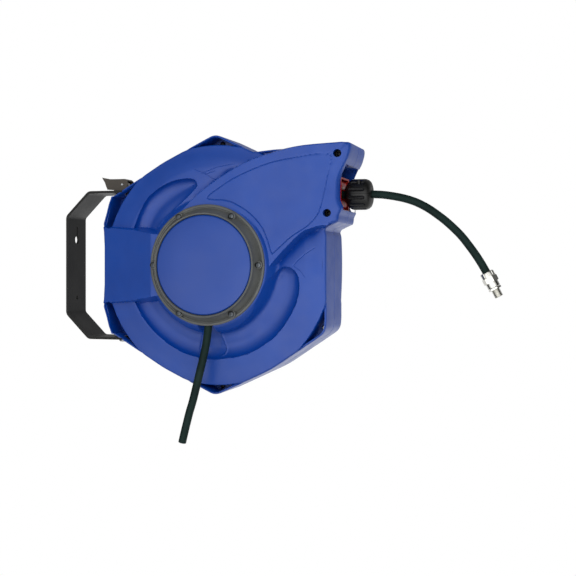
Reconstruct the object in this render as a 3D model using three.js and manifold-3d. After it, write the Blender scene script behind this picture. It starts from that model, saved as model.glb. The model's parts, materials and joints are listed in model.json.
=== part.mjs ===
// Wall-mounted, spring-return reel for a compressed-air hose, millimetres, +Z up.
// Origin: centre of the bracket's wall face. +X points away from the wall, -Y is the reel's front.
// The drum turns about an axis along Y; the whole housing swivels about a vertical pin in the bracket.

import * as THREE from "three";
import { mergeVertices } from "three/addons/utils/BufferGeometryUtils.js";
import Module from "manifold-3d";

const wasm = await Module();
wasm.setup();

// ---- driving dimensions -------------------------------------------------------------------------

const GAP = 0.3; // running gap and gap between touching pieces
const LARGE_ROUND = 40; // facets round the large turned pieces

// hose
const HOSE_R = 6; // 8 x 12 mm polyurethane hose
const HOSE_STEP = 26; // spacing of the sections of a modelled hose
const LEAD_Z = 107.6; // height of the hose above the drum axis where it leaves the coil

// wall bracket
const STRAP_W = 60;
const STRAP_T = 4;
const ARM_Z = 120; // outer face of the arms above and below the drum axis
const BEND_X = 40; // where the 45 degree corner reaches the arm
const BEND_Z = ARM_Z - BEND_X; // where it leaves the wall plate
const ARM_END_R = 27;
const KEYHOLE_Z = 42;
const KEYHOLE_R = 6.8;
const KEYHOLE_SLOT_R = 2.6;
const KEYHOLE_TOP_Z = 64;
const LOWER_HOLE_Z = -54;
const LOWER_HOLE_R = 3.25;

// drum axis and swivel axis
const AXIS_X = 267; // drum axis in front of the wall
const PIVOT_P = -175; // swivel axis, measured from the drum axis
const PIVOT_X = AXIS_X + PIVOT_P;
const PIN_R = 6;
const BOSS_R = 18;
const BOSS_TOP = 113;
const BUSH_R = 8.4;
const BUSH_FLANGE_R = 14;

// housing
const RIM_Y = 50; // half the width of the housing's rim
const SHELL_R = 182;
const OUTLET_FLAT = 176.5; // the rim is flat on the outlet side, this far from the drum axis
const LOBE_R = 20;
const LOBES = [
  [90, 180], // angle, and distance of the lobe's centre from the drum axis
  [150, 186],
  [210, 186],
  [270, 179],
  [330, 180],
];
const CAVITY_R = 171;
const WALL = 4;
const POCKET_R = 186; // inner limit of the pockets in the lobes
const POCKET_FLOOR = -14;
const LOBE_SCREW_D = 190;
const CREST_R = 147.5; // crest between the outer band and the trough
const CREST_Y = -60;
const CREST_WALL = 5; // left between the crest and the hollow behind it
const CAVITY_Y = CREST_Y + 13; // the chamber's front wall, away from the crest
const SEAT_Y = -84; // face that carries the cover ring
const CHAMBER_R = 79;
const CHAMBER_FLOOR = -56;
const REAR_FLOOR = 66;
const SNOUT_FRONT = -60;
const SNOUT_SCREWS = [
  [196, 165],
  [181, 77],
];
const BORE_R = 9.6; // holes for the axle

// cover
const RING_R = 91.5;
const DISC_R = 74.9;
const COVER_SCREW_D = 84.1;
const RING_FRONT = -103;

// drum
const FLANGE_R = 150;
const FLANGE_Y = 31; // inner face of each flange
const FLANGE_T = 3;
const HUB_R = 65.6;
const HUB_WALL = 4;
const AXLE_R = 9;
const COIL_R = LEAD_Z + HOSE_R;
const RATCHET_R = 58;
const RATCHET_TEETH = 12;

// roller guide
const ROLLER_R = 8;
const ROLLER_PIN_R = 2;
const ROLLER_OFFSET = HOSE_R + 0.5 + ROLLER_R;
const CAGE_P = [154.5, 193.5];
const CAGE_Z = [82.4, 133];
const CAGE_Y = 27.5;
const LEVEL_ROLLER_P = 184;
const UPRIGHT_ROLLER_P = 164;

// hose stop and end fitting
const STOP_P = [195, 236];
const STOP_R = 23.5;
const FLUTES = 12;
const NUT_AF = 20;
const NUT_L = 25;
const THREAD_R = 6.6;
const THREAD_L = 12;

// ---- materials ------------------------------------------------------------------------------------

function finish(color, roughness, metalness) {
  return new THREE.MeshStandardMaterial({ color, roughness, metalness });
}

const BLUE = finish("#2b46a0", 0.42, 0);
const GREY = finish("#6b6e68", 0.5, 0);
const BLACK_STEEL = finish("#2a2a28", 0.45, 0.4);
const BLACK_PLASTIC = finish("#232323", 0.5, 0);
const RED_PLASTIC = finish("#a02c20", 0.4, 0);
const HOSE = finish("#1f2e2b", 0.4, 0);
const STEEL = finish("#9a9c9e", 0.35, 0.9);
const NICKEL = finish("#c9c8c4", 0.25, 1);
const BRASS = finish("#b08d4a", 0.35, 1);
const NYLON = finish("#d8d4c8", 0.5, 0);
const TAUPE = finish("#5a544c", 0.45, 0.3);

// ---- solid modelling helpers ----------------------------------------------------------------------

function solid(geometry) {
  const bare = geometry.index ? geometry.toNonIndexed() : geometry.clone();
  bare.deleteAttribute("normal");
  bare.deleteAttribute("uv");
  const merged = mergeVertices(bare, 1e-3);
  return new wasm.Manifold(
    new wasm.Mesh({
      numProp: 3,
      vertProperties: new Float32Array(merged.attributes.position.array),
      triVerts: new Uint32Array(merged.index.array),
    }),
  );
}

function geometryOf(manifold) {
  const mesh = manifold.getMesh();
  return new THREE.BufferGeometry()
    .setAttribute("position", new THREE.BufferAttribute(mesh.vertProperties, 3))
    .setIndex(new THREE.BufferAttribute(mesh.triVerts, 1));
}

function union(...solids) {
  return solids.reduce((a, b) => a.add(b));
}

function cut(body, ...tools) {
  return tools.reduce((a, b) => a.subtract(b), body);
}

// The one real body of a cut solid, without the slivers that faces on one plane leave.
function largest(body) {
  return body.decompose().reduce((a, b) => (b.volume() > a.volume() ? b : a));
}

// A turned piece about the Y axis from a closed profile of [radius, y] points.
function turned(profile, segments = 20) {
  const points = profile.map(([r, y]) => new THREE.Vector2(r, y));
  if (THREE.ShapeUtils.area(points) < 0) points.reverse();
  points.push(points[0].clone());
  return solid(new THREE.LatheGeometry(points, segments));
}

function outlineOf(points) {
  return new THREE.Shape(points.map(([a, b]) => new THREE.Vector2(a, b)));
}

// An outline in X and Z, filled from y0 to y1.
function plateY(shape, y0, y1, curveSegments = 12) {
  const geometry = new THREE.ExtrudeGeometry(shape, {
    depth: y1 - y0,
    bevelEnabled: false,
    curveSegments,
  });
  return solid(geometry.rotateX(Math.PI / 2).translate(0, y1, 0));
}

// An outline in X and Y, filled from z0 to z1.
function plateZ(shape, z0, z1, curveSegments = 12) {
  const geometry = new THREE.ExtrudeGeometry(shape, {
    depth: z1 - z0,
    bevelEnabled: false,
    curveSegments,
  });
  return solid(geometry.translate(0, 0, z0));
}

function block([x0, x1], [y0, y1], [z0, z1]) {
  const box = new THREE.BoxGeometry(x1 - x0, y1 - y0, z1 - z0);
  return solid(box.translate((x0 + x1) / 2, (y0 + y1) / 2, (z0 + z1) / 2));
}

function rodY(r, y0, y1, p = 0, z = 0, segments = 12) {
  const rod = new THREE.CylinderGeometry(r, r, y1 - y0, segments);
  return solid(rod.translate(p, (y0 + y1) / 2, z));
}

function rodZ(r, z0, z1, p = 0, y = 0, segments = 16) {
  const rod = new THREE.CylinderGeometry(r, r, z1 - z0, segments);
  return solid(rod.rotateX(Math.PI / 2).translate(p, y, (z0 + z1) / 2));
}

function rodX(r, x0, x1, y = 0, z = 0, segments = 16) {
  const rod = new THREE.CylinderGeometry(r, r, x1 - x0, segments);
  return solid(rod.rotateZ(Math.PI / 2).translate((x0 + x1) / 2, y, z));
}

// A point on a circle about the drum axis, the angle in degrees from +X towards +Z.
function onCircle(radius, degrees) {
  const angle = THREE.MathUtils.degToRad(degrees);
  return [radius * Math.cos(angle), radius * Math.sin(angle)];
}

// A round bar that follows a smooth curve through the points.
function hoseAlong(points, radius, sides = 10) {
  const curve = new THREE.CatmullRomCurve3(points.map((p) => new THREE.Vector3(...p)));
  const section = new THREE.Shape();
  for (let i = 0; i <= sides; i++) {
    const angle = (2 * Math.PI * i) / sides;
    section[i ? "lineTo" : "moveTo"](radius * Math.cos(angle), radius * Math.sin(angle));
  }
  const steps = Math.max(2, Math.round(curve.getLength() / HOSE_STEP));
  return new THREE.ExtrudeGeometry(section, { extrudePath: curve, steps, bevelEnabled: false });
}

const reel = new THREE.Group();
const housing = new THREE.Group(); // everything placed from the drum axis
housing.position.x = AXIS_X;
reel.add(housing);

function part(name, shape, material, group = housing) {
  const geometry = shape.isBufferGeometry ? shape : geometryOf(shape);
  const mesh = new THREE.Mesh(geometry, material);
  mesh.name = name;
  group.add(mesh);
  return mesh;
}

// ---- wall bracket ---------------------------------------------------------------------------------

// Half of the strap's side view, above the drum axis: wall plate, 45 degree corner, arm.
function strapSide(sign) {
  const t = STRAP_T;
  const lean = t * Math.tan(Math.PI / 8);
  const end = PIVOT_X + ARM_END_R;
  return outlineOf(
    [
      [0, 0],
      [0, BEND_Z],
      [BEND_X, ARM_Z],
      [end, ARM_Z],
      [end, ARM_Z - t],
      [BEND_X + lean, ARM_Z - t],
      [t, BEND_Z - lean],
      [t, 0],
    ].map(([x, z]) => [x, sign * z]),
  );
}

function wallBracket() {
  const half = STRAP_W / 2;
  const strap = union(plateY(strapSide(1), -half, half), plateY(strapSide(-1), -half, half));
  const tip = PIVOT_X + ARM_END_R;
  const shoulder = PIVOT_X + 8;
  const corner = (side) =>
    plateZ(
      outlineOf([
        [shoulder, side * (half + 1)],
        [tip - 2, side * 15],
        [tip + 1, side * 8],
        [tip + 1, side * (half + 1)],
      ]),
      -ARM_Z - 1,
      ARM_Z + 1,
    );
  const plate = [-1, STRAP_T + 1];
  const slot = block(plate, [-KEYHOLE_SLOT_R, KEYHOLE_SLOT_R], [KEYHOLE_Z, KEYHOLE_TOP_Z - KEYHOLE_SLOT_R]);
  return cut(
    strap,
    corner(1),
    corner(-1),
    rodX(KEYHOLE_R, ...plate, 0, KEYHOLE_Z),
    rodX(KEYHOLE_SLOT_R, ...plate, 0, KEYHOLE_TOP_Z - KEYHOLE_SLOT_R),
    slot,
    rodX(LOWER_HOLE_R, ...plate, 0, LOWER_HOLE_Z),
    rodZ(PIN_R + GAP, -ARM_Z - 1, ARM_Z + 1, PIVOT_X),
  );
}

// Shank, collar and a rounded eye that the handle's rivet passes through.
const EYE_Z = 131;
const EYE_R = 6.5;
const RIVET_R = 2;

function pullPin() {
  const shank = rodZ(PIN_R, 92, ARM_Z + GAP + 1, PIVOT_P);
  const collar = rodZ(10, ARM_Z + GAP, 123, PIVOT_P);
  const eye = rodY(EYE_R, -3, 3, PIVOT_P, EYE_Z);
  const neck = block([PIVOT_P - EYE_R, PIVOT_P + EYE_R], [-3, 3], [122, EYE_Z]);
  return cut(union(shank, collar, eye, neck), rodY(RIVET_R + GAP, -4, 4, PIVOT_P, EYE_Z));
}

// Folded channel with a thumb lip, open downwards, round about its rivet.
function releaseHandle() {
  const topZ = 140;
  const sideView = new THREE.Shape();
  sideView.moveTo(PIVOT_P - 36, topZ + 3);
  sideView.lineTo(PIVOT_P - 30, topZ);
  sideView.lineTo(PIVOT_P + 5, topZ - 0.5);
  sideView.absarc(PIVOT_P, EYE_Z, 10.2, Math.PI / 3, -Math.PI / 2, true);
  sideView.lineTo(PIVOT_P - 26, EYE_Z - 8);
  sideView.lineTo(PIVOT_P - 31, topZ - 5);
  const outer = plateY(sideView, -13, 13, 8);
  const inner = block([PIVOT_P - 45, PIVOT_P + 4], [-11, 11], [115, topZ - 2]);
  const tail = block([PIVOT_P + 3, PIVOT_P + 20], [-11, 11], [115, EYE_Z + 6]);
  return cut(outer, inner, tail, rodY(RIVET_R + GAP, -14, 14, PIVOT_P, EYE_Z));
}

function pivotBush(sign) {
  const tube = rodZ(BUSH_R - GAP, 93, BOSS_TOP + 1, PIVOT_P);
  const flange = rodZ(BUSH_FLANGE_R, BOSS_TOP + GAP, BOSS_TOP + GAP + 2, PIVOT_P);
  const bush = cut(union(tube, flange), rodZ(PIN_R + GAP, 92, BOSS_TOP + 3, PIVOT_P));
  return sign > 0 ? bush : bush.mirror([0, 0, 1]);
}

function lowerPin() {
  const shank = rodZ(PIN_R, -ARM_Z - 1, -94, PIVOT_P);
  return union(shank, rodZ(10, -ARM_Z - 5, -ARM_Z - GAP, PIVOT_P));
}

// ---- housing shells -------------------------------------------------------------------------------

// The convex outline round the main circle and the lobes, drawn in by an offset.
function rimOutline(inset = 0) {
  const big = SHELL_R - inset;
  const small = LOBE_R - inset;
  const spread = (distance) => Math.acos((SHELL_R - LOBE_R) / distance);
  const [lastDegrees, lastDistance] = LOBES.at(-1);
  const shape = new THREE.Shape();
  let from = THREE.MathUtils.degToRad(lastDegrees - 360) + spread(lastDistance);
  for (const [degrees, distance] of LOBES) {
    const angle = THREE.MathUtils.degToRad(degrees);
    const half = spread(distance);
    if (angle - half > from) shape.absarc(0, 0, big, from, angle - half, false);
    shape.absarc(...onCircle(distance, degrees), small, angle - half, angle + half, false);
    from = angle + half;
  }
  return shape;
}

// Snout and raised fin, seen from the front.
const SNOUT_TOP = [
  [94, 175],
  [124, 176],
  [164, 179],
  [203, 182],
  [215, 181],
];
const SNOUT_MOUTH = [
  [214, 164],
  [206, 150],
  [200, 136],
  [197, 118],
  [197, 99],
  [202, 86],
  [198, 76],
  [196, 63],
];

function snoutOutline() {
  return outlineOf([[60, 172], ...SNOUT_TOP, ...SNOUT_MOUTH, [178, 58], [166, 40], [100, 40]].reverse());
}

function finOutline() {
  const upper = [
    [-56, 72],
    [-36, 92],
    [-11, 114],
    [27, 138],
    [66, 157],
  ];
  const lower = [
    [178, 59],
    [155, 53],
    [141, 44],
    [113, 15],
    [98, -6],
    [88, -30],
    [60, 0],
  ];
  return outlineOf([...upper, [104, 169], ...SNOUT_TOP.slice(1), ...SNOUT_MOUTH, ...lower].reverse());
}

// The snout's hollow and its mouth, open to the drum's space.
function snoutHollow() {
  return outlineOf(
    [
      [60, 90],
      [70, 155],
      [100, 168],
      [150, 171],
      [178, 173],
      [184, 150],
      [240, 150],
      [240, 82],
      [150, 82],
    ].reverse(),
  );
}

const BRIDGE = [
  [-188, -60],
  [-80, -47],
  [-80, 47],
  [-188, 60],
];

function pivotBoss(sign) {
  const boss = rodZ(BOSS_R, 58, BOSS_TOP, PIVOT_P);
  return sign > 0 ? boss : boss.mirror([0, 0, 1]);
}

// What both shells lose: room for the arms, the bush holes and the snout's hollow.
function swivelRoom(sign) {
  const level = BOSS_TOP + GAP + 2;
  const slot = block([PIVOT_P - 40, PIVOT_P + 31], [-36, 36], [BOSS_TOP, 160]);
  const trim = block([PIVOT_P - 40, PIVOT_P + 18], [-60, 60], [level, 160]);
  const hole = rodZ(BUSH_R, 91, 125, PIVOT_P);
  const room = union(slot, trim, hole);
  return sign > 0 ? room : room.mirror([0, 0, 1]);
}

// What the flat on the outlet side cuts off the rim, below the snout.
function beyondOutletFlat() {
  return block([OUTLET_FLAT, 230], [-70, 70], [-120, 50]);
}

function shellHalf(y0, y1) {
  const left = new THREE.Shape(
    BRIDGE.map(([p, z]) => new THREE.Vector2(p === -80 ? -150 : p, z)),
  );
  const rim = union(
    plateY(rimOutline(), y0, y1, 6),
    plateY(snoutOutline(), y0, y1),
    plateY(left, y0, y1),
  );
  const slab = block([-300, 300], [y0, y1], [-300, 300]);
  return union(rim, pivotBoss(1).intersect(slab), pivotBoss(-1).intersect(slab));
}

// Outer band, crest, trough and the riser up to the cover's seat.
function frontDome() {
  return turned(
    [
      [0, -40],
      [SHELL_R, -40],
      [SHELL_R, -RIM_Y],
      [SHELL_R - 2, -RIM_Y - 2],
      [CREST_R, CREST_Y],
      [CREST_R - 5, CREST_Y + 5],
      [130, CREST_Y + 8],
      [118, CREST_Y + 6],
      [104, CREST_Y - 2],
      [95, SEAT_Y],
      [0, SEAT_Y],
    ],
    LARGE_ROUND,
  );
}

function frontCavity() {
  return turned(
    [
      [0, 1],
      [CAVITY_R, 1],
      [CAVITY_R, CAVITY_Y],
      [CREST_R + 7, CREST_Y + CREST_WALL],
      [CREST_R - 1, CREST_Y + CREST_WALL],
      [CREST_R - 8, CAVITY_Y],
      [118, CAVITY_Y],
      [104, CHAMBER_FLOOR + WALL],
      [0, CHAMBER_FLOOR + WALL],
    ],
    LARGE_ROUND,
  );
}

// The bridge is a sloping flat from the cover ring to the wall side.
function bridgeCut() {
  const above = outlineOf([
    [-215, -46],
    [-188, -53],
    [-92, SEAT_Y],
    [-60, SEAT_Y],
    [-60, -120],
    [-215, -120],
  ]);
  return plateZ(above, -70, 70).intersect(plateY(outlineOf(BRIDGE), -121, 0));
}

function bridgeFill() {
  const below = outlineOf([
    [-188, -40],
    [-80, -40],
    [-80, SEAT_Y],
    [-92, SEAT_Y],
    [-188, -53],
  ]);
  return plateZ(below, -70, 70).intersect(plateY(outlineOf(BRIDGE), -121, 0));
}

// The fin slopes from the cover ring down to the snout's face.
function fin() {
  const side = outlineOf([
    [-70, -48],
    [-70, SEAT_Y],
    [60, SEAT_Y],
    [200, SNOUT_FRONT],
    [230, SNOUT_FRONT],
    [230, -48],
  ]);
  return plateZ(side, -60, 200).intersect(plateY(finOutline(), -121, 0));
}

function lobePockets(y0, y1) {
  return cut(plateY(rimOutline(WALL), y0, y1, 6), rodY(POCKET_R, y0 - 1, y1 + 1, 0, 0, LARGE_ROUND));
}

// Where the inlet hose leaves: a slot under the ring that opens into a rounded funnel.
function inletFunnel() {
  const slot = block([-8, 8], [SEAT_Y - 1, SEAT_Y + 17], [-102, -70]);
  const mouth = new THREE.Shape();
  mouth.moveTo(-8, -90);
  mouth.absarc(0, -124, 18, Math.PI, 2 * Math.PI, false);
  mouth.lineTo(8, -90);
  return union(slot, plateY(mouth, SEAT_Y - 1, SEAT_Y + 15));
}

const LOBE_SCREWS = LOBES.map(([degrees]) => onCircle(LOBE_SCREW_D, degrees));
const COVER_SCREWS = [0, 60, 120, 180, 240, 300].map((degrees) => onCircle(COVER_SCREW_D, degrees));
const SCREW_R = 2;

function shellScrewHoles(y0, y1) {
  return [...LOBE_SCREWS, ...SNOUT_SCREWS].map(([p, z]) => rodY(SCREW_R + GAP, y0, y1, p, z, 8));
}

function frontShell() {
  const dome = cut(frontDome(), bridgeCut());
  const body = union(shellHalf(-RIM_Y, -GAP / 2), dome, bridgeFill(), fin());
  const chamber = rodY(CHAMBER_R, SEAT_Y - 5, CHAMBER_FLOOR, 0, 0, LARGE_ROUND);
  const shell = cut(
    body,
    beyondOutletFlat(),
    frontCavity(),
    plateY(snoutHollow(), -46, 1),
    chamber,
    rodY(BORE_R, -70, -40, 0, 0, 16),
    inletFunnel(),
    lobePockets(-70, POCKET_FLOOR),
    swivelRoom(1),
    swivelRoom(-1),
    ...shellScrewHoles(-70, 1),
    ...SNOUT_SCREWS.map(([p, z]) => rodY(6, -70, -48, p, z)),
    ...COVER_SCREWS.map(([p, z]) => rodY(SCREW_R + GAP, -90, -68, p, z, 8)),
  );
  return largest(shell);
}

function rearShell() {
  const back = turned(
    [
      [0, 40],
      [SHELL_R, 40],
      [SHELL_R, RIM_Y],
      [174, 57],
      [150, 62],
      [110, 62],
      [104, REAR_FLOOR],
      [0, REAR_FLOOR],
    ].reverse(),
    LARGE_ROUND,
  );
  const cavity = turned(
    [
      [0, -1],
      [CAVITY_R, -1],
      [CAVITY_R, 46],
      [150, 57],
      [108, 57],
      [102, REAR_FLOOR - WALL],
      [0, REAR_FLOOR - WALL],
    ].reverse(),
    LARGE_ROUND,
  );
  const shell = cut(
    union(shellHalf(GAP / 2, RIM_Y), back),
    beyondOutletFlat(),
    cavity,
    plateY(snoutHollow(), -1, 45),
    rodY(BORE_R, 50, 80, 0, 0, 16),
    lobePockets(25, 70),
    swivelRoom(1),
    swivelRoom(-1),
    ...shellScrewHoles(-1, 20),
  );
  return largest(shell);
}

// Pan-head screw along Y, its head's front face at y and its tip towards +Y.
function screw(headR, headT, length, y, [p, z]) {
  const head = rodY(headR, y, y + headT, p, z, 8);
  const socket = rodY(headR * 0.45, y - 1, y + headT * 0.5, p, z, 6);
  return union(cut(head, socket), rodY(SCREW_R, y + headT * 0.9, y + length, p, z, 8));
}

// ---- cover ----------------------------------------------------------------------------------------

function coverRing() {
  const face = SEAT_Y - GAP;
  const ring = turned(
    [
      [RING_R, face],
      [RING_R, face - 2.5],
      [88, face - 4.5],
      [86, face - 3.5],
      [79.5, face - 12],
      [78.5, RING_FRONT + 0.5],
      [77, RING_FRONT],
      [DISC_R + GAP + 0.1, RING_FRONT + 1],
      [DISC_R + GAP + 0.1, -98],
      [70, -98],
      [70, -95],
      [76, -95],
      [80, face],
    ],
    LARGE_ROUND,
  );
  const bosses = COVER_SCREWS.map(([p, z]) => rodY(6, -93, face, p, z));
  const bores = COVER_SCREWS.map(([p, z]) => rodY(SCREW_R + GAP, -110, -80, p, z, 8));
  const seats = COVER_SCREWS.map(([p, z]) => rodY(4.9, -110, -93, p, z));
  return cut(union(ring, ...bosses), ...bores, ...seats);
}

function frontDisc() {
  return turned([
    [0, -98 - GAP],
    [DISC_R, -98 - GAP],
    [DISC_R, -100.5],
    [DISC_R - 1, -101.5],
    [0, -101.5],
  ], LARGE_ROUND);
}

// ---- axle, air path and drum ----------------------------------------------------------------------

function axle() {
  return turned([
    [3.5, -66],
    [AXLE_R, -66],
    [AXLE_R, 78],
    [7.5, 80],
    [0, 80],
    [0, 0],
    [3.5, 0],
  ], 16);
}

function hexNut(af, y0, y1, bore) {
  const nut = rodY(af / Math.sqrt(3), y0, y1, 0, 0, 6);
  return cut(nut, rodY(bore, y0 - 1, y1 + 1, 0, 0, 16));
}

// Brass elbow on the axle's front end that turns the air line down to the inlet hose.
const ELBOW_Y = -77;

function inletElbow() {
  const cap = rodY(11, ELBOW_Y - 9, -66 - GAP, 0, 0, 16);
  const leg = rodZ(9, -34, 0, 0, ELBOW_Y, 16);
  const collar = rodZ(10.5, -34, -22, 0, ELBOW_Y, 6);
  const nose = rodY(3.2, -68, -60, 0, 0, 12);
  return union(cap, leg, collar, nose);
}

function drumFlange(sign) {
  const y0 = FLANGE_Y;
  const y1 = FLANGE_Y + FLANGE_T;
  const disc = turned([
    [16, y0],
    [FLANGE_R, y0],
    [FLANGE_R, y1 + 2],
    [FLANGE_R - 3, y1 + 2],
    [FLANGE_R - 5, y1],
    [16, y1],
  ], LARGE_ROUND);
  const windows = [30, 90, 150, 210, 270, 330].map((degrees) => {
    const [p, z] = onCircle(132, degrees);
    return rodY(9, y0 - 1, y1 + 3, p, z, 8);
  });
  const flange = cut(disc, ...windows);
  return sign > 0 ? flange : flange.mirror([0, 1, 0]);
}

function drumHub() {
  const y = FLANGE_Y - GAP;
  const tube = cut(rodY(HUB_R, -y, y, 0, 0, 28), rodY(HUB_R - HUB_WALL, -y - 1, y + 1, 0, 0, 28));
  return cut(tube, rodX(5 + GAP, 50, 70, -17, 0, 16));
}

function drumBearing(sign) {
  const inner = AXLE_R + GAP;
  const bush = turned([
    [inner, FLANGE_Y - 5],
    [19, FLANGE_Y - 5],
    [19, FLANGE_Y - GAP],
    [16 - GAP, FLANGE_Y - GAP],
    [16 - GAP, FLANGE_Y + FLANGE_T + 5],
    [inner, FLANGE_Y + FLANGE_T + 5],
  ], 16);
  return sign > 0 ? bush : bush.mirror([0, 1, 0]);
}

// Ring of square notches that the pawl drops into, on the front flange.
function ratchetRing() {
  const y1 = -FLANGE_Y - FLANGE_T - GAP;
  const y0 = y1 - 6;
  const ring = cut(rodY(RATCHET_R, y0, y1, 0, 0, 28), rodY(44, y0 - 1, y1 + 1, 0, 0, 16));
  const notches = [];
  for (let i = 0; i < RATCHET_TEETH; i++) {
    const angle = (i * 2 * Math.PI) / RATCHET_TEETH;
    const notch = new THREE.BoxGeometry(14, 10, 10).translate(RATCHET_R, (y0 + y1) / 2, 0);
    notches.push(solid(notch.rotateY(-angle)));
  }
  return cut(ring, ...notches);
}

function airSleeve() {
  return turned([
    [AXLE_R + GAP, -25],
    [17, -25],
    [17, -9],
    [AXLE_R + GAP, -9],
  ], 16);
}

// Flat spring steel wound as a spiral between the axle and the hub.
function mainspring() {
  const turns = 5;
  const perTurn = 16;
  const inner = AXLE_R + 3;
  const outer = HUB_R - HUB_WALL - 3;
  const thick = 1.4;
  const inside = [];
  const outside = [];
  for (let i = 0; i <= turns * perTurn; i++) {
    const share = i / (turns * perTurn);
    const radius = inner + share * (outer - inner);
    inside.push(onCircle(radius, 360 * turns * share));
    outside.unshift(onCircle(radius + thick, 360 * turns * share));
  }
  return plateY(outlineOf([...inside, ...outside]), -4, 24);
}

function hoseCoil() {
  const half = FLANGE_Y - 1;
  return turned([
    [HUB_R + 0.5, -half],
    [COIL_R, -half],
    [COIL_R, half],
    [HUB_R + 0.5, half],
  ], LARGE_ROUND);
}

// ---- pawl -----------------------------------------------------------------------------------------

const PAWL_AT = onCircle(86, 105);
const PAWL_Y = [-44.5, -36.5];

// The arm lies tangent to the ratchet and clear of it; turned inwards, its nose sits in a notch.
function pawl() {
  const [p, z] = PAWL_AT;
  const [y0, y1] = PAWL_Y;
  const arm = outlineOf([
    [p - 5, z - 4],
    [p - 5, z + 5],
    [p + 8, z + 6],
    [p + 30, z - 4],
    [p + 34, z - 14],
    [p + 28, z - 15],
    [p + 24, z - 9],
  ].reverse());
  const eye = rodY(8, y0, y1, p, z);
  return cut(union(plateY(arm, y0, y1), eye), rodY(3 + GAP, y0 - 1, y1 + 1, p, z));
}

// Torsion spring round the pawl's pin, as the closed ring of its coils.
function pawlSpring() {
  const [p, z] = PAWL_AT;
  return cut(rodY(5.6, -51, PAWL_Y[0] - GAP, p, z, 16), rodY(3.6, -52, -40, p, z, 16));
}

// ---- roller guide ---------------------------------------------------------------------------------

function rollerCage() {
  const frame = cut(
    block(CAGE_P, [-CAGE_Y, CAGE_Y], CAGE_Z),
    block([CAGE_P[0] - 1, CAGE_P[1] + 1], [-23, 23], [84.7, 130.5]),
  );
  const levels = [-1, 1].map((side) =>
    rodY(ROLLER_PIN_R + GAP, -40, 40, LEVEL_ROLLER_P, LEAD_Z + side * ROLLER_OFFSET, 12),
  );
  const uprights = [-1, 1].map((side) =>
    rodZ(ROLLER_PIN_R + GAP, 70, 150, UPRIGHT_ROLLER_P, side * ROLLER_OFFSET, 12),
  );
  return cut(frame, ...levels, ...uprights);
}

function levelRoller(side) {
  const z = LEAD_Z + side * ROLLER_OFFSET;
  const body = rodY(ROLLER_R, -22.5, 22.5, LEVEL_ROLLER_P, z, 16);
  return cut(body, rodY(ROLLER_PIN_R + GAP, -30, 30, LEVEL_ROLLER_P, z, 8));
}

function uprightRoller(side) {
  const y = side * ROLLER_OFFSET;
  const body = rodZ(ROLLER_R, 85.2, 130, UPRIGHT_ROLLER_P, y, 16);
  return cut(body, rodZ(ROLLER_PIN_R + GAP, 80, 140, UPRIGHT_ROLLER_P, y, 12));
}

// ---- hose stop ------------------------------------------------------------------------------------

// Turned body along X with long flutes, clamped round the hose in two halves.
function stopBody() {
  const [a, b] = STOP_P;
  const turnedStop = turned([
    [0, a],
    [12, a],
    [19, a + 5],
    [STOP_R, a + 13],
    [STOP_R, b - 10],
    [21, b - 4],
    [17, b - 1],
    [12, b],
    [0, b],
  ], 20);
  const flutes = [];
  for (let i = 0; i < FLUTES; i++) {
    const [c, d] = onCircle(STOP_R + 1.5, (360 * (i + 0.5)) / FLUTES);
    flutes.push(rodY(2.6, a - 1, b - 9, c, d, 6));
  }
  return cut(turnedStop, ...flutes);
}

function stopHalf(sign) {
  const [a, b] = STOP_P;
  const half = sign > 0 ? [GAP / 2, 40] : [-40, -GAP / 2];
  // the body is turned about Y, then laid along X at the hose's height
  const laid = stopBody().rotate([0, 0, -90]).translate([0, 0, LEAD_Z]);
  const slab = block([a - 2, b + 2], [-40, 40], half.map((z) => z + LEAD_Z));
  const mid = (a + b) / 2 + 3;
  const screws = [-14, 14].map((y) => rodZ(SCREW_R + GAP, LEAD_Z - 12, LEAD_Z + 40, mid, y, 12));
  const seats = [-14, 14].map((y) => rodZ(4, LEAD_Z + 9, LEAD_Z + 40, mid, y, 16));
  return cut(laid.intersect(slab), rodX(HOSE_R + GAP, a - 2, b + 2, 0, LEAD_Z), ...screws, ...seats);
}

function stopScrew(y) {
  const mid = (STOP_P[0] + STOP_P[1]) / 2 + 3;
  const head = rodZ(3.6, LEAD_Z + 9 + GAP, LEAD_Z + 12, mid, y, 16);
  return union(head, rodZ(SCREW_R, LEAD_Z - 11, LEAD_Z + 10, mid, y, 10));
}

// ---- hoses ----------------------------------------------------------------------------------------

const LEAD_ROUTE = [
  [56, 0, LEAD_Z],
  [130, 0, LEAD_Z],
  [STOP_P[1] - 1, 0, LEAD_Z],
];
const OUTLET_ROUTE = [
  [236, 0, 107.6],
  [252, 0, 106.6],
  [269, 0, 104],
  [287, 0, 100],
  [304, 0, 94],
  [320, 0, 85.6],
  [334, 0, 76],
  [348, 0, 65],
  [361, 0, 53],
  [371, 0, 42.5],
  [380, 0, 31],
  [389.5, 0, 18],
  [398, 0, 5],
  [405.5, 0, -8],
  [412, 0, -20.5],
];
const INLET_ROUTE = [
  [0, ELBOW_Y, -34.5],
  [0, ELBOW_Y, -60],
  [0, -77.5, -85],
  [-1, -79, -104],
  [-3, -81.5, -122],
  [-6, -84.5, -140],
  [-10, -86.5, -159],
  [-15, -87.5, -180],
  [-21.5, -87.5, -205],
  [-27, -87, -222],
  [-31.5, -86.5, -238],
  [-36, -85.5, -254],
  [-40, -84.5, -269],
];

// ---- end fitting ----------------------------------------------------------------------------------

// Built along -Y from its own origin, then turned to follow the hose's end.
function fittingNut() {
  const hex = rodY(NUT_AF / Math.sqrt(3), -17, -8, 0, 0, 6);
  const collar = turned([
    [0, -8.5],
    [10.6, -8.5],
    [10.6, -2],
    [9, 0],
    [0, 0],
  ], 16);
  const neck = rodY(9.4, -NUT_L, -16.5, 0, 0, 16);
  return cut(union(hex, collar, neck), rodY(HOSE_R + GAP, -14, 1, 0, 0, 20));
}

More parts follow.
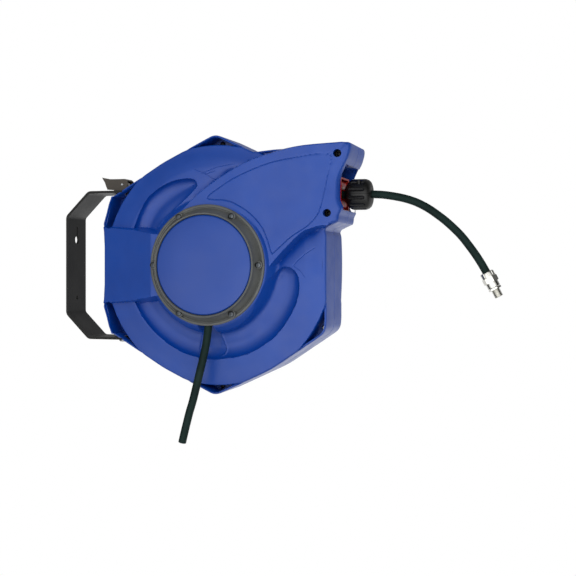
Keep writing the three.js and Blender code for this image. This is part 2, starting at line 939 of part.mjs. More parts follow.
function fittingBody() {
  const start = -NUT_L - GAP;
  const flange = rodY(9.8, start - 3, start, 0, 0, 6);
  const stub = rodY(THREAD_R, start - 3 - THREAD_L, start - 2, 0, 0, 20);
  return cut(union(flange, stub), rodY(3.5, start - 20, start - 1.5, 0, 0, 16));
}

// ---- assembly -------------------------------------------------------------------------------------

part("wall_bracket", wallBracket(), BLACK_STEEL, reel);
part("lower_pivot_pin", lowerPin(), STEEL);
part("pull_pin", pullPin(), STEEL);
part("release_handle", releaseHandle(), TAUPE);
part("handle_rivet", rodY(RIVET_R, -13.5, 13.5, PIVOT_P, EYE_Z, 12), STEEL);

part("front_shell", frontShell(), BLUE);
part("rear_shell", rearShell(), BLUE);
part("upper_pivot_bush", pivotBush(1), NYLON);
part("lower_pivot_bush", pivotBush(-1), NYLON);
[...LOBE_SCREWS, ...SNOUT_SCREWS].forEach((place, i) => {
  const inLobe = i < LOBE_SCREWS.length;
  const seat = inLobe ? POCKET_FLOOR : -48;
  const length = inLobe ? 35 : 64;
  part(`shell_screw_${i + 1}`, screw(3.8, 3, length, seat - 3 - GAP, place), STEEL);
});

part("cover_ring", coverRing(), GREY);
part("front_disc", frontDisc(), BLUE);
COVER_SCREWS.forEach((place, i) => {
  part(`cover_screw_${i + 1}`, screw(4.5, 3, 24, -96 - GAP, place), GREY);
});

part("axle", axle(), STEEL);
part("axle_nut", hexNut(27, REAR_FLOOR + GAP, REAR_FLOOR + 9, AXLE_R + GAP), STEEL);
part("rear_cap", turned([
  [34, REAR_FLOOR + GAP],
  [38, REAR_FLOOR + GAP],
  [36, 82],
  [30, 86],
  [0, 86],
  [0, 83],
  [29, 83],
  [33, 80],
], 24), GREY);
part("inlet_elbow", inletElbow(), BRASS);
part("inlet_hose", hoseAlong(INLET_ROUTE, HOSE_R), HOSE);

part("drum_front_flange", drumFlange(-1), BLACK_PLASTIC);
part("drum_rear_flange", drumFlange(1), BLACK_PLASTIC);
part("drum_hub", drumHub(), BLACK_PLASTIC);
part("drum_front_bearing", drumBearing(-1), NYLON);
part("drum_rear_bearing", drumBearing(1), NYLON);
part("ratchet_ring", ratchetRing(), STEEL);
part("air_sleeve", airSleeve(), BRASS);
part("air_tube", rodX(5, 17 + GAP, HUB_R - 0.5, -17, 0, 16), BRASS);
part("mainspring", mainspring(), STEEL);
part("hose_coil", hoseCoil(), HOSE);

part("pawl", pawl(), STEEL);
part("pawl_pin", rodY(3, CHAMBER_FLOOR + WALL + GAP, -36, ...PAWL_AT, 16), STEEL);
part("pawl_spring", pawlSpring(), STEEL);

part("roller_cage", rollerCage(), RED_PLASTIC);
for (const [name, side] of [["lower", -1], ["upper", 1]]) {
  const z = LEAD_Z + side * ROLLER_OFFSET;
  part(`guide_roller_${name}`, levelRoller(side), RED_PLASTIC);
  part(`roller_pin_${name}`, rodY(ROLLER_PIN_R, -27, 27, LEVEL_ROLLER_P, z, 12), STEEL);
}
for (const [name, side] of [["front", -1], ["rear", 1]]) {
  const y = side * ROLLER_OFFSET;
  part(`guide_roller_${name}`, uprightRoller(side), RED_PLASTIC);
  part(`roller_pin_${name}`, rodZ(ROLLER_PIN_R, 82.8, 132.6, UPRIGHT_ROLLER_P, y, 12), STEEL);
}

part("hose_lead", hoseAlong(LEAD_ROUTE, HOSE_R), HOSE);
part("outlet_hose", hoseAlong(OUTLET_ROUTE, HOSE_R), HOSE);
part("hose_stop_upper", stopHalf(1), BLACK_PLASTIC);
part("hose_stop_lower", stopHalf(-1), BLACK_PLASTIC);
part("stop_screw_front", stopScrew(-14), STEEL);
part("stop_screw_rear", stopScrew(14), STEEL);

const fitting = new THREE.Group(); // stands at the outlet hose's end and points along it
const [hoseEnd, beforeEnd] = [OUTLET_ROUTE.at(-1), OUTLET_ROUTE.at(-2)].map((p) => new THREE.Vector3(...p));
const endDirection = hoseEnd.clone().sub(beforeEnd).normalize();
fitting.position.copy(hoseEnd).addScaledVector(endDirection, -11);
fitting.quaternion.setFromUnitVectors(new THREE.Vector3(0, -1, 0), endDirection);
housing.add(fitting);
part("fitting_nut", fittingNut(), NICKEL, fitting);
part("fitting_body", fittingBody(), NICKEL, fitting);

export default reel;
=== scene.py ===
# %% [markdown]
# # A wall-mounted air hose reel
#
# The reel hangs in a folded steel bracket and swivels in it. Its two blue shells hold a sprung drum
# with some twelve metres of hose; the hose leaves through a roller guide in the snout, and a fluted
# stop keeps its end from running in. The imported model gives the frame: its joints say where the
# drum and the swivel are, and every other size is a length in millimetres about the drum's axis.

# %% Load the frame
import json
import math

import bmesh
import bpy
import numpy as np
from mathutils import Matrix, Vector


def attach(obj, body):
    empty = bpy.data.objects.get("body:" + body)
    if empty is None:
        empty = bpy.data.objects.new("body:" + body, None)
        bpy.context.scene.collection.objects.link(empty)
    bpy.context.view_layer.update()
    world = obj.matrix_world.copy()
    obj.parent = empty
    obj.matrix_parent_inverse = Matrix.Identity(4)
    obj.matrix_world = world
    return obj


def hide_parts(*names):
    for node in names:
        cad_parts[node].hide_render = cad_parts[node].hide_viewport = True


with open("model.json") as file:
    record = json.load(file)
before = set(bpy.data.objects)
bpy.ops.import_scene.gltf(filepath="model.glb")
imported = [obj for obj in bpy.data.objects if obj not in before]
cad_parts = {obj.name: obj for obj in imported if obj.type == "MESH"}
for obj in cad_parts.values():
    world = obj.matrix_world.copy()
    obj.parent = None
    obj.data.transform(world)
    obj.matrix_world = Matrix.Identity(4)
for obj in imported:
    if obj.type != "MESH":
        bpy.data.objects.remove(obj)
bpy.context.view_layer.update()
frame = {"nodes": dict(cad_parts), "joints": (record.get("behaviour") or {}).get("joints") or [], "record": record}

JOINTS = {joint["name"]: joint for joint in frame["joints"]}
scene = bpy.context.scene

# %% [markdown]
# ## Bench coordinates
#
# The housing is drawn like a turned part: p is the distance from the drum's axis away from the wall,
# z is height, and h is how far a face stands forward. Drawing in millimetres about that axis keeps
# the numbers short. One matrix carries a finished mesh into the frame, which is in metres.

# %% Where the drum's axis and the swivel's axis are
MM = 0.001
AXIS = Vector(JOINTS["drum_spin"]["pos_m"])
SWIVEL_P = (JOINTS["housing_swivel"]["pos_m"][0] - AXIS.x) / MM
WALL_P = -AXIS.x / MM
TO_FRAME = Matrix.Translation(AXIS) @ Matrix.Scale(MM, 4)


def on_circle(radius, degrees):
    """The place on a circle about the drum's axis at an angle."""
    turn = math.radians(degrees)
    return radius * math.cos(turn), radius * math.sin(turn)


print("drum axis", tuple(round(c, 4) for c in AXIS), "swivel axis at p =", round(SWIVEL_P, 1))

# %% [markdown]
# ## The camera
#
# It stands level with the drum's axis and a little to the outlet's side, so the front, the side wall
# and the snout's mouth all show. A long lens keeps the circles round. A small shift, and no tilt,
# lifts the reel in the picture and keeps its uprights straight.

# %% Camera
CAMERA_TURN = math.radians(16.5)
FULL_FRAME = 36  # the sensor's width in millimetres
camera = bpy.data.objects.new("camera", bpy.data.cameras.new("camera"))
camera.data.sensor_width = FULL_FRAME
camera.data.lens = 62.5
camera.data.shift_y = -0.0398
camera.location = (0.8120, -1.4942, 0)
camera.rotation_euler = (math.radians(90), 0, CAMERA_TURN)
scene.collection.objects.link(camera)
scene.camera = camera

# %% [markdown]
# ## How materials are made here
#
# Every finish is a small node tree on the Principled shader. Colours are written as the sRGB hex
# values a designer would give, and one function turns them into the linear values that Blender
# mixes. One more function adds any node with its settings and links, so each finish reads as a list.

# %% Colour and node helpers


def linear(hex_colour):
    """An sRGB hex colour as linear red, green, blue and alpha."""
    channels = [int(hex_colour[i : i + 2], 16) / 255 for i in (1, 3, 5)]
    return [c / 12.92 if c <= 0.04045 else ((c + 0.055) / 1.055) ** 2.4 for c in channels] + [1]


def add_node(tree, kind, inputs=None, links=None, **settings):
    """Adds a shader node, sets its attributes and sockets, and links sockets to (node, output) pairs."""
    made = tree.nodes.new("ShaderNode" + kind)
    for key, value in settings.items():
        setattr(made, key, value)
    for key, value in (inputs or {}).items():
        made.inputs[key].default_value = value
    for key, (source, output) in (links or {}).items():
        tree.links.new(source.outputs[output], made.inputs[key])
    return made


def two_tones(tree, factor, low, high, spread=(0.3, 0.7)):
    """A colour ramp between two hex colours, driven by a node's output."""
    ramp = add_node(tree, "ValToRGB", links={"Fac": factor})
    for element, place, tone in zip(ramp.color_ramp.elements, spread, (low, high)):
        element.position = place
        element.color = linear(tone)
    return ramp


def start_material(name):
    """An empty node material with its output, its Principled shader and object coordinates."""
    material = bpy.data.materials.new(name)
    material.use_nodes = True
    tree = material.node_tree
    tree.nodes.clear()
    shader = add_node(tree, "BsdfPrincipled")
    add_node(tree, "OutputMaterial", links={"Surface": (shader, "BSDF")})
    return material, tree, shader, add_node(tree, "TexCoord")


def per_metre(millimetres):
    """The scale of a pattern on object coordinates whose features are this wide."""
    return 1 / (millimetres * MM)


def finish_surface(tree, shader, tone, bump, pattern, smoothest, roughest):
    """Links a tone and a bump to the shader, with a roughness that a pattern varies."""
    span = {"From Min": 0.3, "From Max": 0.7, "To Min": smoothest, "To Max": roughest}
    gloss = add_node(tree, "MapRange", span, {"Value": pattern})
    tree.links.new(tone.outputs["Color"], shader.inputs["Base Color"])
    tree.links.new(gloss.outputs["Result"], shader.inputs["Roughness"])
    tree.links.new(bump.outputs["Normal"], shader.inputs["Normal"])


# %% [markdown]
# ## Moulded plastics
#
# The shells are ABS from a spark-eroded mould: an even colour, a soft gloss and a very fine grain.
# The grain of such a mould is about 0.1 mm, too fine to show at this distance, so it is drawn at
# 1.2 mm and kept faint. Slow clouds in the tone and the gloss are what the eye reads as plastic that
# has been handled. The nylon, acetal and polyurethane parts share the recipe with other values.

# %% Plastics


def moulded(name, deep, light, roughness, grain_mm=1.2, grain=0.04, cloud_mm=70, gleam=0.5):
    """A moulded plastic: two close tones in slow clouds, uneven gloss and a fine grain."""
    material, tree, shader, coordinates = start_material(name)
    place = (coordinates, "Object")
    slow = {"Scale": per_metre(cloud_mm), "Detail": 3, "Roughness": 0.55}
    clouds = add_node(tree, "TexNoise", slow, {"Vector": place})
    tone = two_tones(tree, (clouds, "Fac"), deep, light, (0.35, 0.65))
    grit = {"Scale": per_metre(grain_mm), "Detail": 2, "Roughness": 0.6}
    fine = add_node(tree, "TexNoise", grit, {"Vector": place})
    wipes = add_node(tree, "TexNoise", {"Scale": per_metre(cloud_mm * 0.35), "Detail": 4}, {"Vector": place})
    bump = add_node(tree, "Bump", {"Strength": grain, "Distance": 0.0004}, {"Height": (fine, "Fac")})
    finish_surface(tree, shader, tone, bump, (wipes, "Fac"), roughness - 0.05, roughness + 0.06)
    shader.inputs["IOR"].default_value = 1.5
    shader.inputs["Specular IOR Level"].default_value = gleam
    return material


shell_abs = moulded("shell_blue_abs", "#003C96", "#02419E", 0.36, grain=0.05)
disc_abs = moulded("disc_blue_film", "#003A93", "#033E98", 0.33, grain_mm=0.9, grain=0.06, cloud_mm=120)
ring_nylon = moulded("ring_grey_nylon", "#4E504F", "#575957", 0.42, grain=0.10, cloud_mm=30)
stop_nylon = moulded("stop_black_nylon", "#101010", "#161616", 0.38, grain=0.10, cloud_mm=18, gleam=0.3)
drum_nylon = moulded("drum_black_nylon", "#1A1A1B", "#232324", 0.5, grain=0.15, cloud_mm=40)
guide_acetal = moulded("guide_red_acetal", "#94190F", "#A82417", 0.34, grain=0.03, cloud_mm=15, gleam=0.3)
bush_nylon = moulded("bush_natural_nylon", "#CFCABC", "#DDD9CC", 0.45, grain=0.05, cloud_mm=20)
hose_polyurethane = moulded(
    "hose_green_black_polyurethane", "#101F1D", "#182A27", 0.5,
    grain_mm=0.8, grain=0.05, cloud_mm=25, gleam=0.1,
)

# %% [markdown]
# ## Coated steel and bare metals
#
# Powder coat is plastic baked on steel: it has the texture of fine orange peel, about 1 mm from
# crest to crest, and a soft sheen. Zinc, nickel and brass are real metals, so they reflect in their
# own colour. Fine tool marks and a clouded plating show on them. Real marks are finer than 0.1 mm,
# so they are drawn 0.7 mm wide and kept faint.

# %% Metals


def powder_coat(name, deep, light, roughness, gleam):
    """Baked powder on steel: a dark tone with a little variation and orange peel."""
    material, tree, shader, coordinates = start_material(name)
    place = (coordinates, "Object")
    clouds = add_node(tree, "TexNoise", {"Scale": per_metre(45), "Detail": 4}, {"Vector": place})
    tone = two_tones(tree, (clouds, "Fac"), deep, light)
    peel = add_node(tree, "TexNoise", {"Scale": per_metre(1.1), "Detail": 1}, {"Vector": place})
    bump = add_node(tree, "Bump", {"Strength": 0.16, "Distance": 0.0005}, {"Height": (peel, "Fac")})
    finish_surface(tree, shader, tone, bump, (clouds, "Fac"), roughness - 0.06, roughness + 0.06)
    shader.inputs["Specular IOR Level"].default_value = gleam
    return material


def machined(name, deep, light, roughness):
    """A bare or plated metal with clouded tone and fine marks."""
    material, tree, shader, coordinates = start_material(name)
    place = (coordinates, "Object")
    clouds = add_node(tree, "TexNoise", {"Scale": per_metre(9), "Detail": 4}, {"Vector": place})
    marks = add_node(tree, "TexNoise", {"Scale": per_metre(0.7), "Detail": 3}, {"Vector": place})
    tone = two_tones(tree, (clouds, "Fac"), deep, light)
    bump = add_node(tree, "Bump", {"Strength": 0.06, "Distance": 0.0003}, {"Height": (marks, "Fac")})
    finish_surface(tree, shader, tone, bump, (marks, "Fac"), roughness - 0.08, roughness + 0.08)
    shader.inputs["Metallic"].default_value = 1.0
    return material


bracket_coat = powder_coat("bracket_black_powder_coat", "#151514", "#1C1C1B", 0.45, gleam=0.2)
handle_coat = powder_coat("handle_grey_brown_coat", "#413C36", "#504A43", 0.36, gleam=0.25)
zinc = machined("zinc_plated_steel", "#8E9092", "#B4B6B8", 0.34)
nickel = machined("nickel_plated_brass", "#B9B8B2", "#D6D5D0", 0.2)
brass = machined("turned_brass", "#A8803A", "#C49A52", 0.28)
# near-black steel for the screws deep in the pockets and holes: painted shade
painted_shade_black = machined("black_zinc_steel", "#1C1C1E", "#2A2A2C", 0.4)
spring_steel = machined("spring_steel", "#3E4144", "#565A5E", 0.36)

# %% [markdown]
# ## Bench tools
#
# Most pieces here are turned, bent or extruded, so three short tools make nearly all of them: a
# profile spun round an axis, an outline pushed to a depth, and a Boolean for holes and slots. Each
# works on a bmesh in bench millimetres. Spinning can leave a shape inside out, so its doubles are
# merged first and its normals recalculated after.

# %% Turn, extrude, cut and place


def chain(bm, points, closed=True):
    """Vertices joined in a line by edges, and into a loop if closed."""
    verts = [bm.verts.new(point) for point in points]
    pairs = list(zip(verts, verts[1:])) + ([(verts[-1], verts[0])] if closed else [])
    return verts, [bm.edges.new(pair) for pair in pairs]


def tidy(bm, distance=1e-4):
    """Merges doubles and turns every face outwards."""
    bmesh.ops.remove_doubles(bm, verts=bm.verts, dist=distance)
    bmesh.ops.recalc_face_normals(bm, faces=bm.faces)
    return bm


def turned(profile, steps=96, centre=(0, 0, 0)):
    """A solid spun about the Y axis from a closed profile of (radius, y) points."""
    bm = bmesh.new()
    verts, edges = chain(bm, [(r, y, 0) for r, y in profile])
    bmesh.ops.spin(
        bm, geom=verts + edges, cent=(0, 0, 0), axis=(0, 1, 0), angle=2 * math.pi, steps=steps, use_merge=True
    )
    bmesh.ops.translate(bm, verts=bm.verts, vec=centre)
    return tidy(bm)


def extruded(outline, depth, lift):
    """A prism: the outline's points through lift, which makes each 3-D, pushed by the depth vector."""
    bm = bmesh.new()
    verts, _ = chain(bm, [lift(a, b) for a, b in outline])
    face = bm.faces.new(verts)
    pushed = bmesh.ops.extrude_face_region(bm, geom=[face])["geom"]
    bmesh.ops.translate(bm, verts=[v for v in pushed if isinstance(v, bmesh.types.BMVert)], vec=depth)
    return tidy(bm)


def plate(outline, y0, y1):
    """An outline in p and z, filled from y0 to y1."""
    return extruded(outline, (0, y1 - y0, 0), lambda p, z: (p, y0, z))


def block(low, high):
    """A box between two corners."""
    bm = bmesh.new()
    bmesh.ops.create_cube(bm, size=1)
    size = Vector(high) - Vector(low)
    bmesh.ops.scale(bm, verts=bm.verts, vec=size)
    bmesh.ops.translate(bm, verts=bm.verts, vec=Vector(low) + size / 2)
    return bm


def rod(radius, start, end, sides=32):
    """A cylinder between two points."""
    bm = bmesh.new()
    along = Vector(end) - Vector(start)
    bmesh.ops.create_cone(
        bm, cap_ends=True, segments=sides, radius1=radius, radius2=radius, depth=along.length
    )
    turn = along.to_track_quat("Z", "Y").to_matrix().to_4x4()
    place_at = Matrix.Translation((Vector(start) + Vector(end)) / 2) @ turn
    bmesh.ops.transform(bm, matrix=place_at, verts=bm.verts)
    return bm


def gather(*parts):
    """Several bmeshes in one."""
    whole = bmesh.new()
    for bm in parts:
        mesh = bpy.data.meshes.new("loose")
        bm.to_mesh(mesh)
        bm.free()
        whole.from_mesh(mesh)
        bpy.data.meshes.remove(mesh)
    return whole


def combine(bm, tool, operation="DIFFERENCE"):
    """One Boolean of two bmeshes, which gives a new bmesh."""
    objects = []
    for shape in (bm, tool):
        mesh = bpy.data.meshes.new("loose")
        shape.to_mesh(mesh)
        shape.free()
        objects.append(bpy.data.objects.new("loose", mesh))
        scene.collection.objects.link(objects[-1])
    modifier = objects[0].modifiers.new("cut", "BOOLEAN")
    modifier.operation = operation
    modifier.solver = "MANIFOLD"
    modifier.object = objects[1]
    evaluated = objects[0].evaluated_get(bpy.context.evaluated_depsgraph_get())
    result = bmesh.new()
    result.from_mesh(evaluated.data)
    for loose in objects:
        bpy.data.meshes.remove(loose.data)
    return result


def keep_beyond(bm, at, normal):
    """Cuts a solid at a plane, keeps the side that the normal points to, and closes the cut."""
    geometry = bm.verts[:] + bm.edges[:] + bm.faces[:]
    cut = bmesh.ops.bisect_plane(bm, geom=geometry, plane_co=at, plane_no=normal, clear_inner=True)
    edges = [g for g in cut["geom_cut"] if isinstance(g, bmesh.types.BMEdge)]
    bmesh.ops.holes_fill(bm, edges=edges)
    return bm


def roll_edges(piece, name, width):
    """A small rounded bevel on a piece's sharp edges, as a modifier."""
    bevel = piece.modifiers.new(name, "BEVEL")
    bevel.width = width * MM
    bevel.segments = 2
    bevel.angle_limit = math.radians(50)


def place(bm, name, body, material, slot, *nodes, crease=32):
    """Carries a bench bmesh into the frame as a piece that rides on a body."""
    bmesh.ops.transform(bm, matrix=TO_FRAME, verts=bm.verts)
    mesh = bpy.data.meshes.new(name)
    bm.to_mesh(mesh)
    bm.free()
    mesh.shade_smooth()
    mesh.set_sharp_from_angle(angle=math.radians(crease))
    mesh.materials.append(material)
    piece = bpy.data.objects.new(name, mesh)
    scene.collection.objects.link(piece)
    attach(piece, body)
    if nodes:
        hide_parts(*nodes)
    print(name, len(mesh.loop_triangles) or len(mesh.polygons), "faces")
    return piece


# %% [markdown]
# ## The two free hoses
#
# The line is 12 mm polyurethane hose, dark green and fairly stiff. The outlet end comes out of the
# guide through the stop, runs level for a moment and bends down under its own weight and that of
# its fitting. The inlet hose comes out under the cover ring and hangs, leaning to the wall. Each is
# a circle of edges carried along a smooth route and extruded section by section. The inlet hose is
# cut square, so its bore shows.

# %% Routes and the hose tool
HOSE_R = 6
HOSE_BORE_R = 4
ELBOW_H = 77  # how far forward the inlet hose leaves its elbow
OUTLET_ROUTE = [
    (236, 0, 107.6), (252, 0, 106.6), (269, 0, 104), (287, 0, 100), (304, 0, 94),
    (320, 0, 85.6), (334, 0, 76), (348, 0, 65), (361, 0, 53), (371, 0, 42.5),
    (380, 0, 31), (389.5, 0, 18), (398, 0, 5), (405.5, 0, -8), (412, 0, -20.5),
]
INLET_ROUTE = [
    (0, -ELBOW_H, -34.5), (0, -ELBOW_H, -60), (0, -77.5, -85), (-1, -79, -104),
    (-3, -81.5, -122), (-6, -84.5, -140), (-10, -86.5, -159), (-15, -87.5, -180),
    (-21.5, -87.5, -205), (-27, -87, -222), (-31.5, -86.5, -238), (-36, -85.5, -254),
    (-40, -84.5, -269),
]


def smooth_route(points, per_span=6):
    """A Catmull-Rom curve through the points."""
    knots = [Vector(p) for p in points]
    knots = [2 * knots[0] - knots[1]] + knots + [2 * knots[-1] - knots[-2]]
    route = []
    for a, b, c, d in zip(knots, knots[1:], knots[2:], knots[3:]):
        for i in range(per_span):
            t = i / per_span
            bend = (2 * a - 5 * b + 4 * c - d) * t * t + (3 * b - a - 3 * c + d) * t**3
            route.append((2 * b + (c - a) * t + bend) / 2)
    return route + [knots[-2]]


def hose_along(route, radius, bore=0.0, sides=32):
    """A tube carried along a route. With a bore, its far end is cut square and hollow."""
    bm = bmesh.new()
    heading = (route[1] - route[0]).normalized()
    turn = heading.to_track_quat("Z", "Y")
    ring = bmesh.ops.create_circle(
        bm, segments=sides, radius=radius, cap_ends=True,
        matrix=Matrix.Translation(route[0]) @ turn.to_matrix().to_4x4(),
    )["verts"]
    edges = list({e for v in ring for e in v.link_edges})
    stations = [(point, 1.0) for point in route[1:]]
    if bore:  # back up inside the end
        share = bore / radius
        stations += [(route[-1], share)] + [(route[-1 - back], share) for back in (1, 3, 6)]
    before, size = route[0], 1.0
    for place_now, size_now in stations:
        here = min(range(len(route)), key=lambda i: (route[i] - place_now).length)
        ahead = route[min(here + 1, len(route) - 1)] - route[max(here - 1, 0)]
        bend = heading.rotation_difference(ahead.normalized())
        heading = ahead.normalized()
        grown = bmesh.ops.extrude_edge_only(bm, edges=edges)["geom"]
        edges = [g for g in grown if isinstance(g, bmesh.types.BMEdge)]
        verts = [g for g in grown if isinstance(g, bmesh.types.BMVert)]
        bmesh.ops.translate(bm, verts=verts, vec=-before)
        bmesh.ops.rotate(bm, verts=verts, cent=(0, 0, 0), matrix=bend.to_matrix())
        bmesh.ops.scale(bm, verts=verts, vec=[size_now / size] * 3)
        bmesh.ops.translate(bm, verts=verts, vec=place_now)
        before, size = place_now, size_now
    bmesh.ops.holes_fill(bm, edges=edges)
    return tidy(bm, 1e-6)


def route_length(route):
    return sum((b - a).length for a, b in zip(route, route[1:])) * MM


outlet_route = smooth_route(OUTLET_ROUTE)
inlet_route = smooth_route(INLET_ROUTE)
outlet_tube = hose_along(outlet_route, HOSE_R)
outlet_hose = place(outlet_tube, "outlet_hose_tube", "housing", hose_polyurethane, "hose", "outlet_hose")
inlet_tube = hose_along(inlet_route, HOSE_R, HOSE_BORE_R)
inlet_hose = place(inlet_tube, "inlet_hose_tube", "housing", hose_polyurethane, "hose", "inlet_hose")
print("outlet hose", round(route_length(outlet_route), 3), "m")
print("inlet hose", round(route_length(inlet_route), 3), "m")

# %% [markdown]
# ## The housing's outline
#
# Seen from the front, the shells are a circle with five corners for the clamping screws, a flat side
# towards the wall, another on the outlet side, and the snout. A taut string round the circle and the
# corners gives their outline. Its distance from the axis at any angle comes from the support lines
# of those circles. The snout and the wall side are added as polygons, because every part of the
# outline can be seen from the axis.

# %% Outline
FAR_AWAY = 1e9
SHELL_R = 182
CORNER_R = 20
# each corner's angle and its circle's distance from the axis
CORNERS = [(90, 180), (150, 186), (210, 186), (270, 179), (330, 180)]
OUTLET_FLAT = 176.5
SNOUT = [
    (60, 172), (94, 175), (124, 176), (164, 179.5), (203, 182), (212, 182), (215, 180), (215, 172),
    (211, 158), (206, 149), (200, 136), (197.5, 126), (197, 118), (197, 99), (199, 92), (202, 86),
    (201, 80), (198, 74),
    (197, 66), (195, 62), (190, 60), (178, 56.5), (166, 40), (60, 40),
]
WALL_SIDE = [
    (-100, 80), (-176, 110), (-181, 97), (-185, 82), (-190, 66), (-188, 54), (-186.5, 30),
    (-186.5, -30), (-188, -54), (-190, -66), (-185, -82), (-181, -97), (-176, -110), (-100, -80),
]


def cross(a, b):
    return a[0] * b[1] - a[1] * b[0]


def polygon_reach(polygon, angles):
    """How far a polygon reaches from the axis at each angle."""
    ray = np.stack([np.cos(angles), np.sin(angles)])
    reach = np.zeros_like(angles)
    for a, b in zip(polygon, polygon[1:] + polygon[:1]):
        side = (b[0] - a[0], b[1] - a[1])
        with np.errstate(divide="ignore", invalid="ignore"):
            distance = cross(a, side) / cross(ray, side)
            share = cross(a, ray) / cross(ray, side)
        hit = (share >= 0) & (share <= 1) & (distance > 0)
        reach = np.where(hit, np.maximum(reach, distance), reach)
    return reach


def string_reach(angles):
    """How far a taut string round the circle and the corners is from the axis."""
    reach = np.full_like(angles, FAR_AWAY)
    for lean in np.radians(np.arange(-60, 60.1, 0.5)):
        support = np.full_like(angles, SHELL_R)
        for degrees, distance in CORNERS:
            facing = np.cos(angles + lean - math.radians(degrees))
            support = np.maximum(support, distance * facing + CORNER_R)
        reach = np.minimum(reach, support / math.cos(lean))
    return reach


def outline_reach(angles):
    """The housing's outline: the string, cut flat on the outlet side, with the snout and wall side."""
    facing = np.cos(angles)
    flat = np.where(facing > 0.3, OUTLET_FLAT / np.maximum(facing, 0.3), FAR_AWAY)
    reach = np.minimum(string_reach(angles), flat)
    return np.maximum(reach, np.maximum(polygon_reach(SNOUT, angles), polygon_reach(WALL_SIDE, angles)))


OUTLINE_ANGLES = np.radians(np.arange(-180, 180, 0.5))
OUTLINE_REACH = outline_reach(OUTLINE_ANGLES)
OUTLINE = list(zip(OUTLINE_REACH * np.cos(OUTLINE_ANGLES), OUTLINE_REACH * np.sin(OUTLINE_ANGLES)))
print("the outline is", *np.round([OUTLINE_REACH.min(), OUTLINE_REACH.max()], 1), "mm from the axis")

# %% [markdown]
# ## The front's relief
#
# A mould gives the front its form, and every face of it can be seen from straight ahead, so it is
# a height over the p-z plane. A turned base carries the outer band and the riser to the cover ring.
# Two crescents are sunk into it with crisp outer edges and soft floors. The bridge to the wall
# side and the fin to the snout stand above it. Distances to the features' outlines drive all of it.

# %% Distances to outlines


def smooth_outline(points, per_span=5):
    """A closed smooth outline through 2-D points."""
    knots = [Vector((a, b, 0)) for a, b in points[-2:] + points + points[:3]]
    dense = smooth_route(knots, per_span)
    return [(v.x, v.y) for v in dense[2 * per_span : -2 * per_span - 1]]


def edge_distance(p, z, points, closed=False):
    """How far each place is from a line."""
    nearest = np.full_like(p, FAR_AWAY)
    ends = points[1:] + points[:1] if closed else points[1:]
    for (ax, az), (bx, bz) in zip(points, ends):
        dx, dz = bx - ax, bz - az
        along = np.clip(((p - ax) * dx + (z - az) * dz) / max(dx * dx + dz * dz, 1e-9), 0, 1)
        nearest = np.minimum(nearest, (p - ax - along * dx) ** 2 + (z - az - along * dz) ** 2)
    return np.sqrt(nearest)


def depth_inside(p, z, outline):
    """How far each place is inside an outline, and below zero outside it."""
    inside = np.zeros(p.shape, bool)
    for (ax, az), (bx, bz) in zip(outline, outline[1:] + outline[:1]):
        if az != bz:
            crosses = ((az > z) != (bz > z)) & (p < (bx - ax) * (z - az) / (bz - az) + ax)
            inside ^= crosses
    distance = edge_distance(p, z, outline, closed=True)
    return np.where(inside, distance, -distance)


def ease(value, low, high):
    """A smooth step from 0 at low to 1 at high."""
    t = np.clip((value - low) / (high - low), 0, 1)
    return t * t * (3 - 2 * t)


# %% The features' outlines, in millimetres about the drum's axis
UPPER_CRESCENT = smooth_outline([
    (-136, 40), (-128.5, 64), (-120.5, 84), (-108.5, 104), (-89.5, 119), (-68.5, 129), (-46.5, 133),
    (-31.5, 132), (-25.5, 125), (-28.5, 117), (-46, 100), (-67.5, 81), (-82.5, 67), (-91.5, 53), (-100, 38),
])
LOWER_CRESCENT = smooth_outline([
    (-137, -38), (-128.5, -60), (-114.5, -84), (-89.5, -110), (-59.5, -130), (-28.5, -141), (-5, -144),
    (19.5, -142.5), (57.5, -134), (95.5, -111), (120.5, -81), (135.5, -48), (137, -23), (132, -10),
    (121, -3), (110, -4), (99.5, -15), (82, -40), (70, -69), (48, -90), (20, -100.5), (-10, -101.5),
    (-40, -93), (-68, -75), (-88, -52), (-98, -34),
])
BRIDGE = [(-60, -44), (-91, -48), (-128, -54.5), (-200, -61), (-200, 61), (-128, 54.5), (-91, 48), (-60, 44)]
FIN_TOP = [
    (-62, 58), (-41, 83), (-15, 107), (23, 133), (62, 153.5), (101, 167), (138, 176), (174, 181), (230, 186),
]
FIN_FOOT = [(230, 66), (174, 59), (152, 53), (138, 44), (110, 15), (95, -4), (88, -24), (77, -45)]
FIN = smooth_outline(FIN_TOP + FIN_FOOT + [(40, -20), (-20, 20)])
PANEL_LINE = smooth_outline([
    (0, 101), (20, 117), (46, 132), (95, 151.5), (142, 161), (172, 165), (184, 163.5), (187, 157),
    (182, 133), (176, 105), (171, 84), (166, 73), (152, 58), (127, 41), (104, 20), (99, 18.5), (93, 38),
    (84, 58), (67, 77), (47, 90), (30, 97),
])
CREASES = [
    [(-30, 148), (-12, 140), (6, 128)], [(-20, 141), (6, 150), (34, 155)], [(-12, 140), (2, 144)],
    [(128, -1), (134, 6), (146, 17), (160, 26)], [(130, -2), (139, -8), (146, -18)],
]
FUNNEL = smooth_outline([
    (-12, -78), (8, -78), (10, -98), (14, -113), (18.5, -128), (16, -136), (6, -141), (-8, -142), (-20, -138),
    (-24, -129), (-21, -115), (-16, -98),
])
MOUTH_EDGE = [
    (216, 178), (214, 164), (206, 149), (200, 136), (197, 118), (197, 99), (202, 86), (198, 74), (196, 62),
]
SNOUT_END = [(190, 184)] + MOUTH_EDGE

# %% Heights of the front and the back
SEAT_H = 84
LINE_DEPTH, LINE_HALF = 0.9, 0.65
CREASE_DEPTH, CREASE_HALF = 0.5, 0.6
EDGE_ROUND = 2.4


def wall_drop(outside, slope=5.0, softness=0.7):
    """How far a raised feature's side has dropped at a distance outside its edge."""
    outside = np.maximum(outside, 0)
    return slope * (np.sqrt(outside**2 + softness**2) - softness)


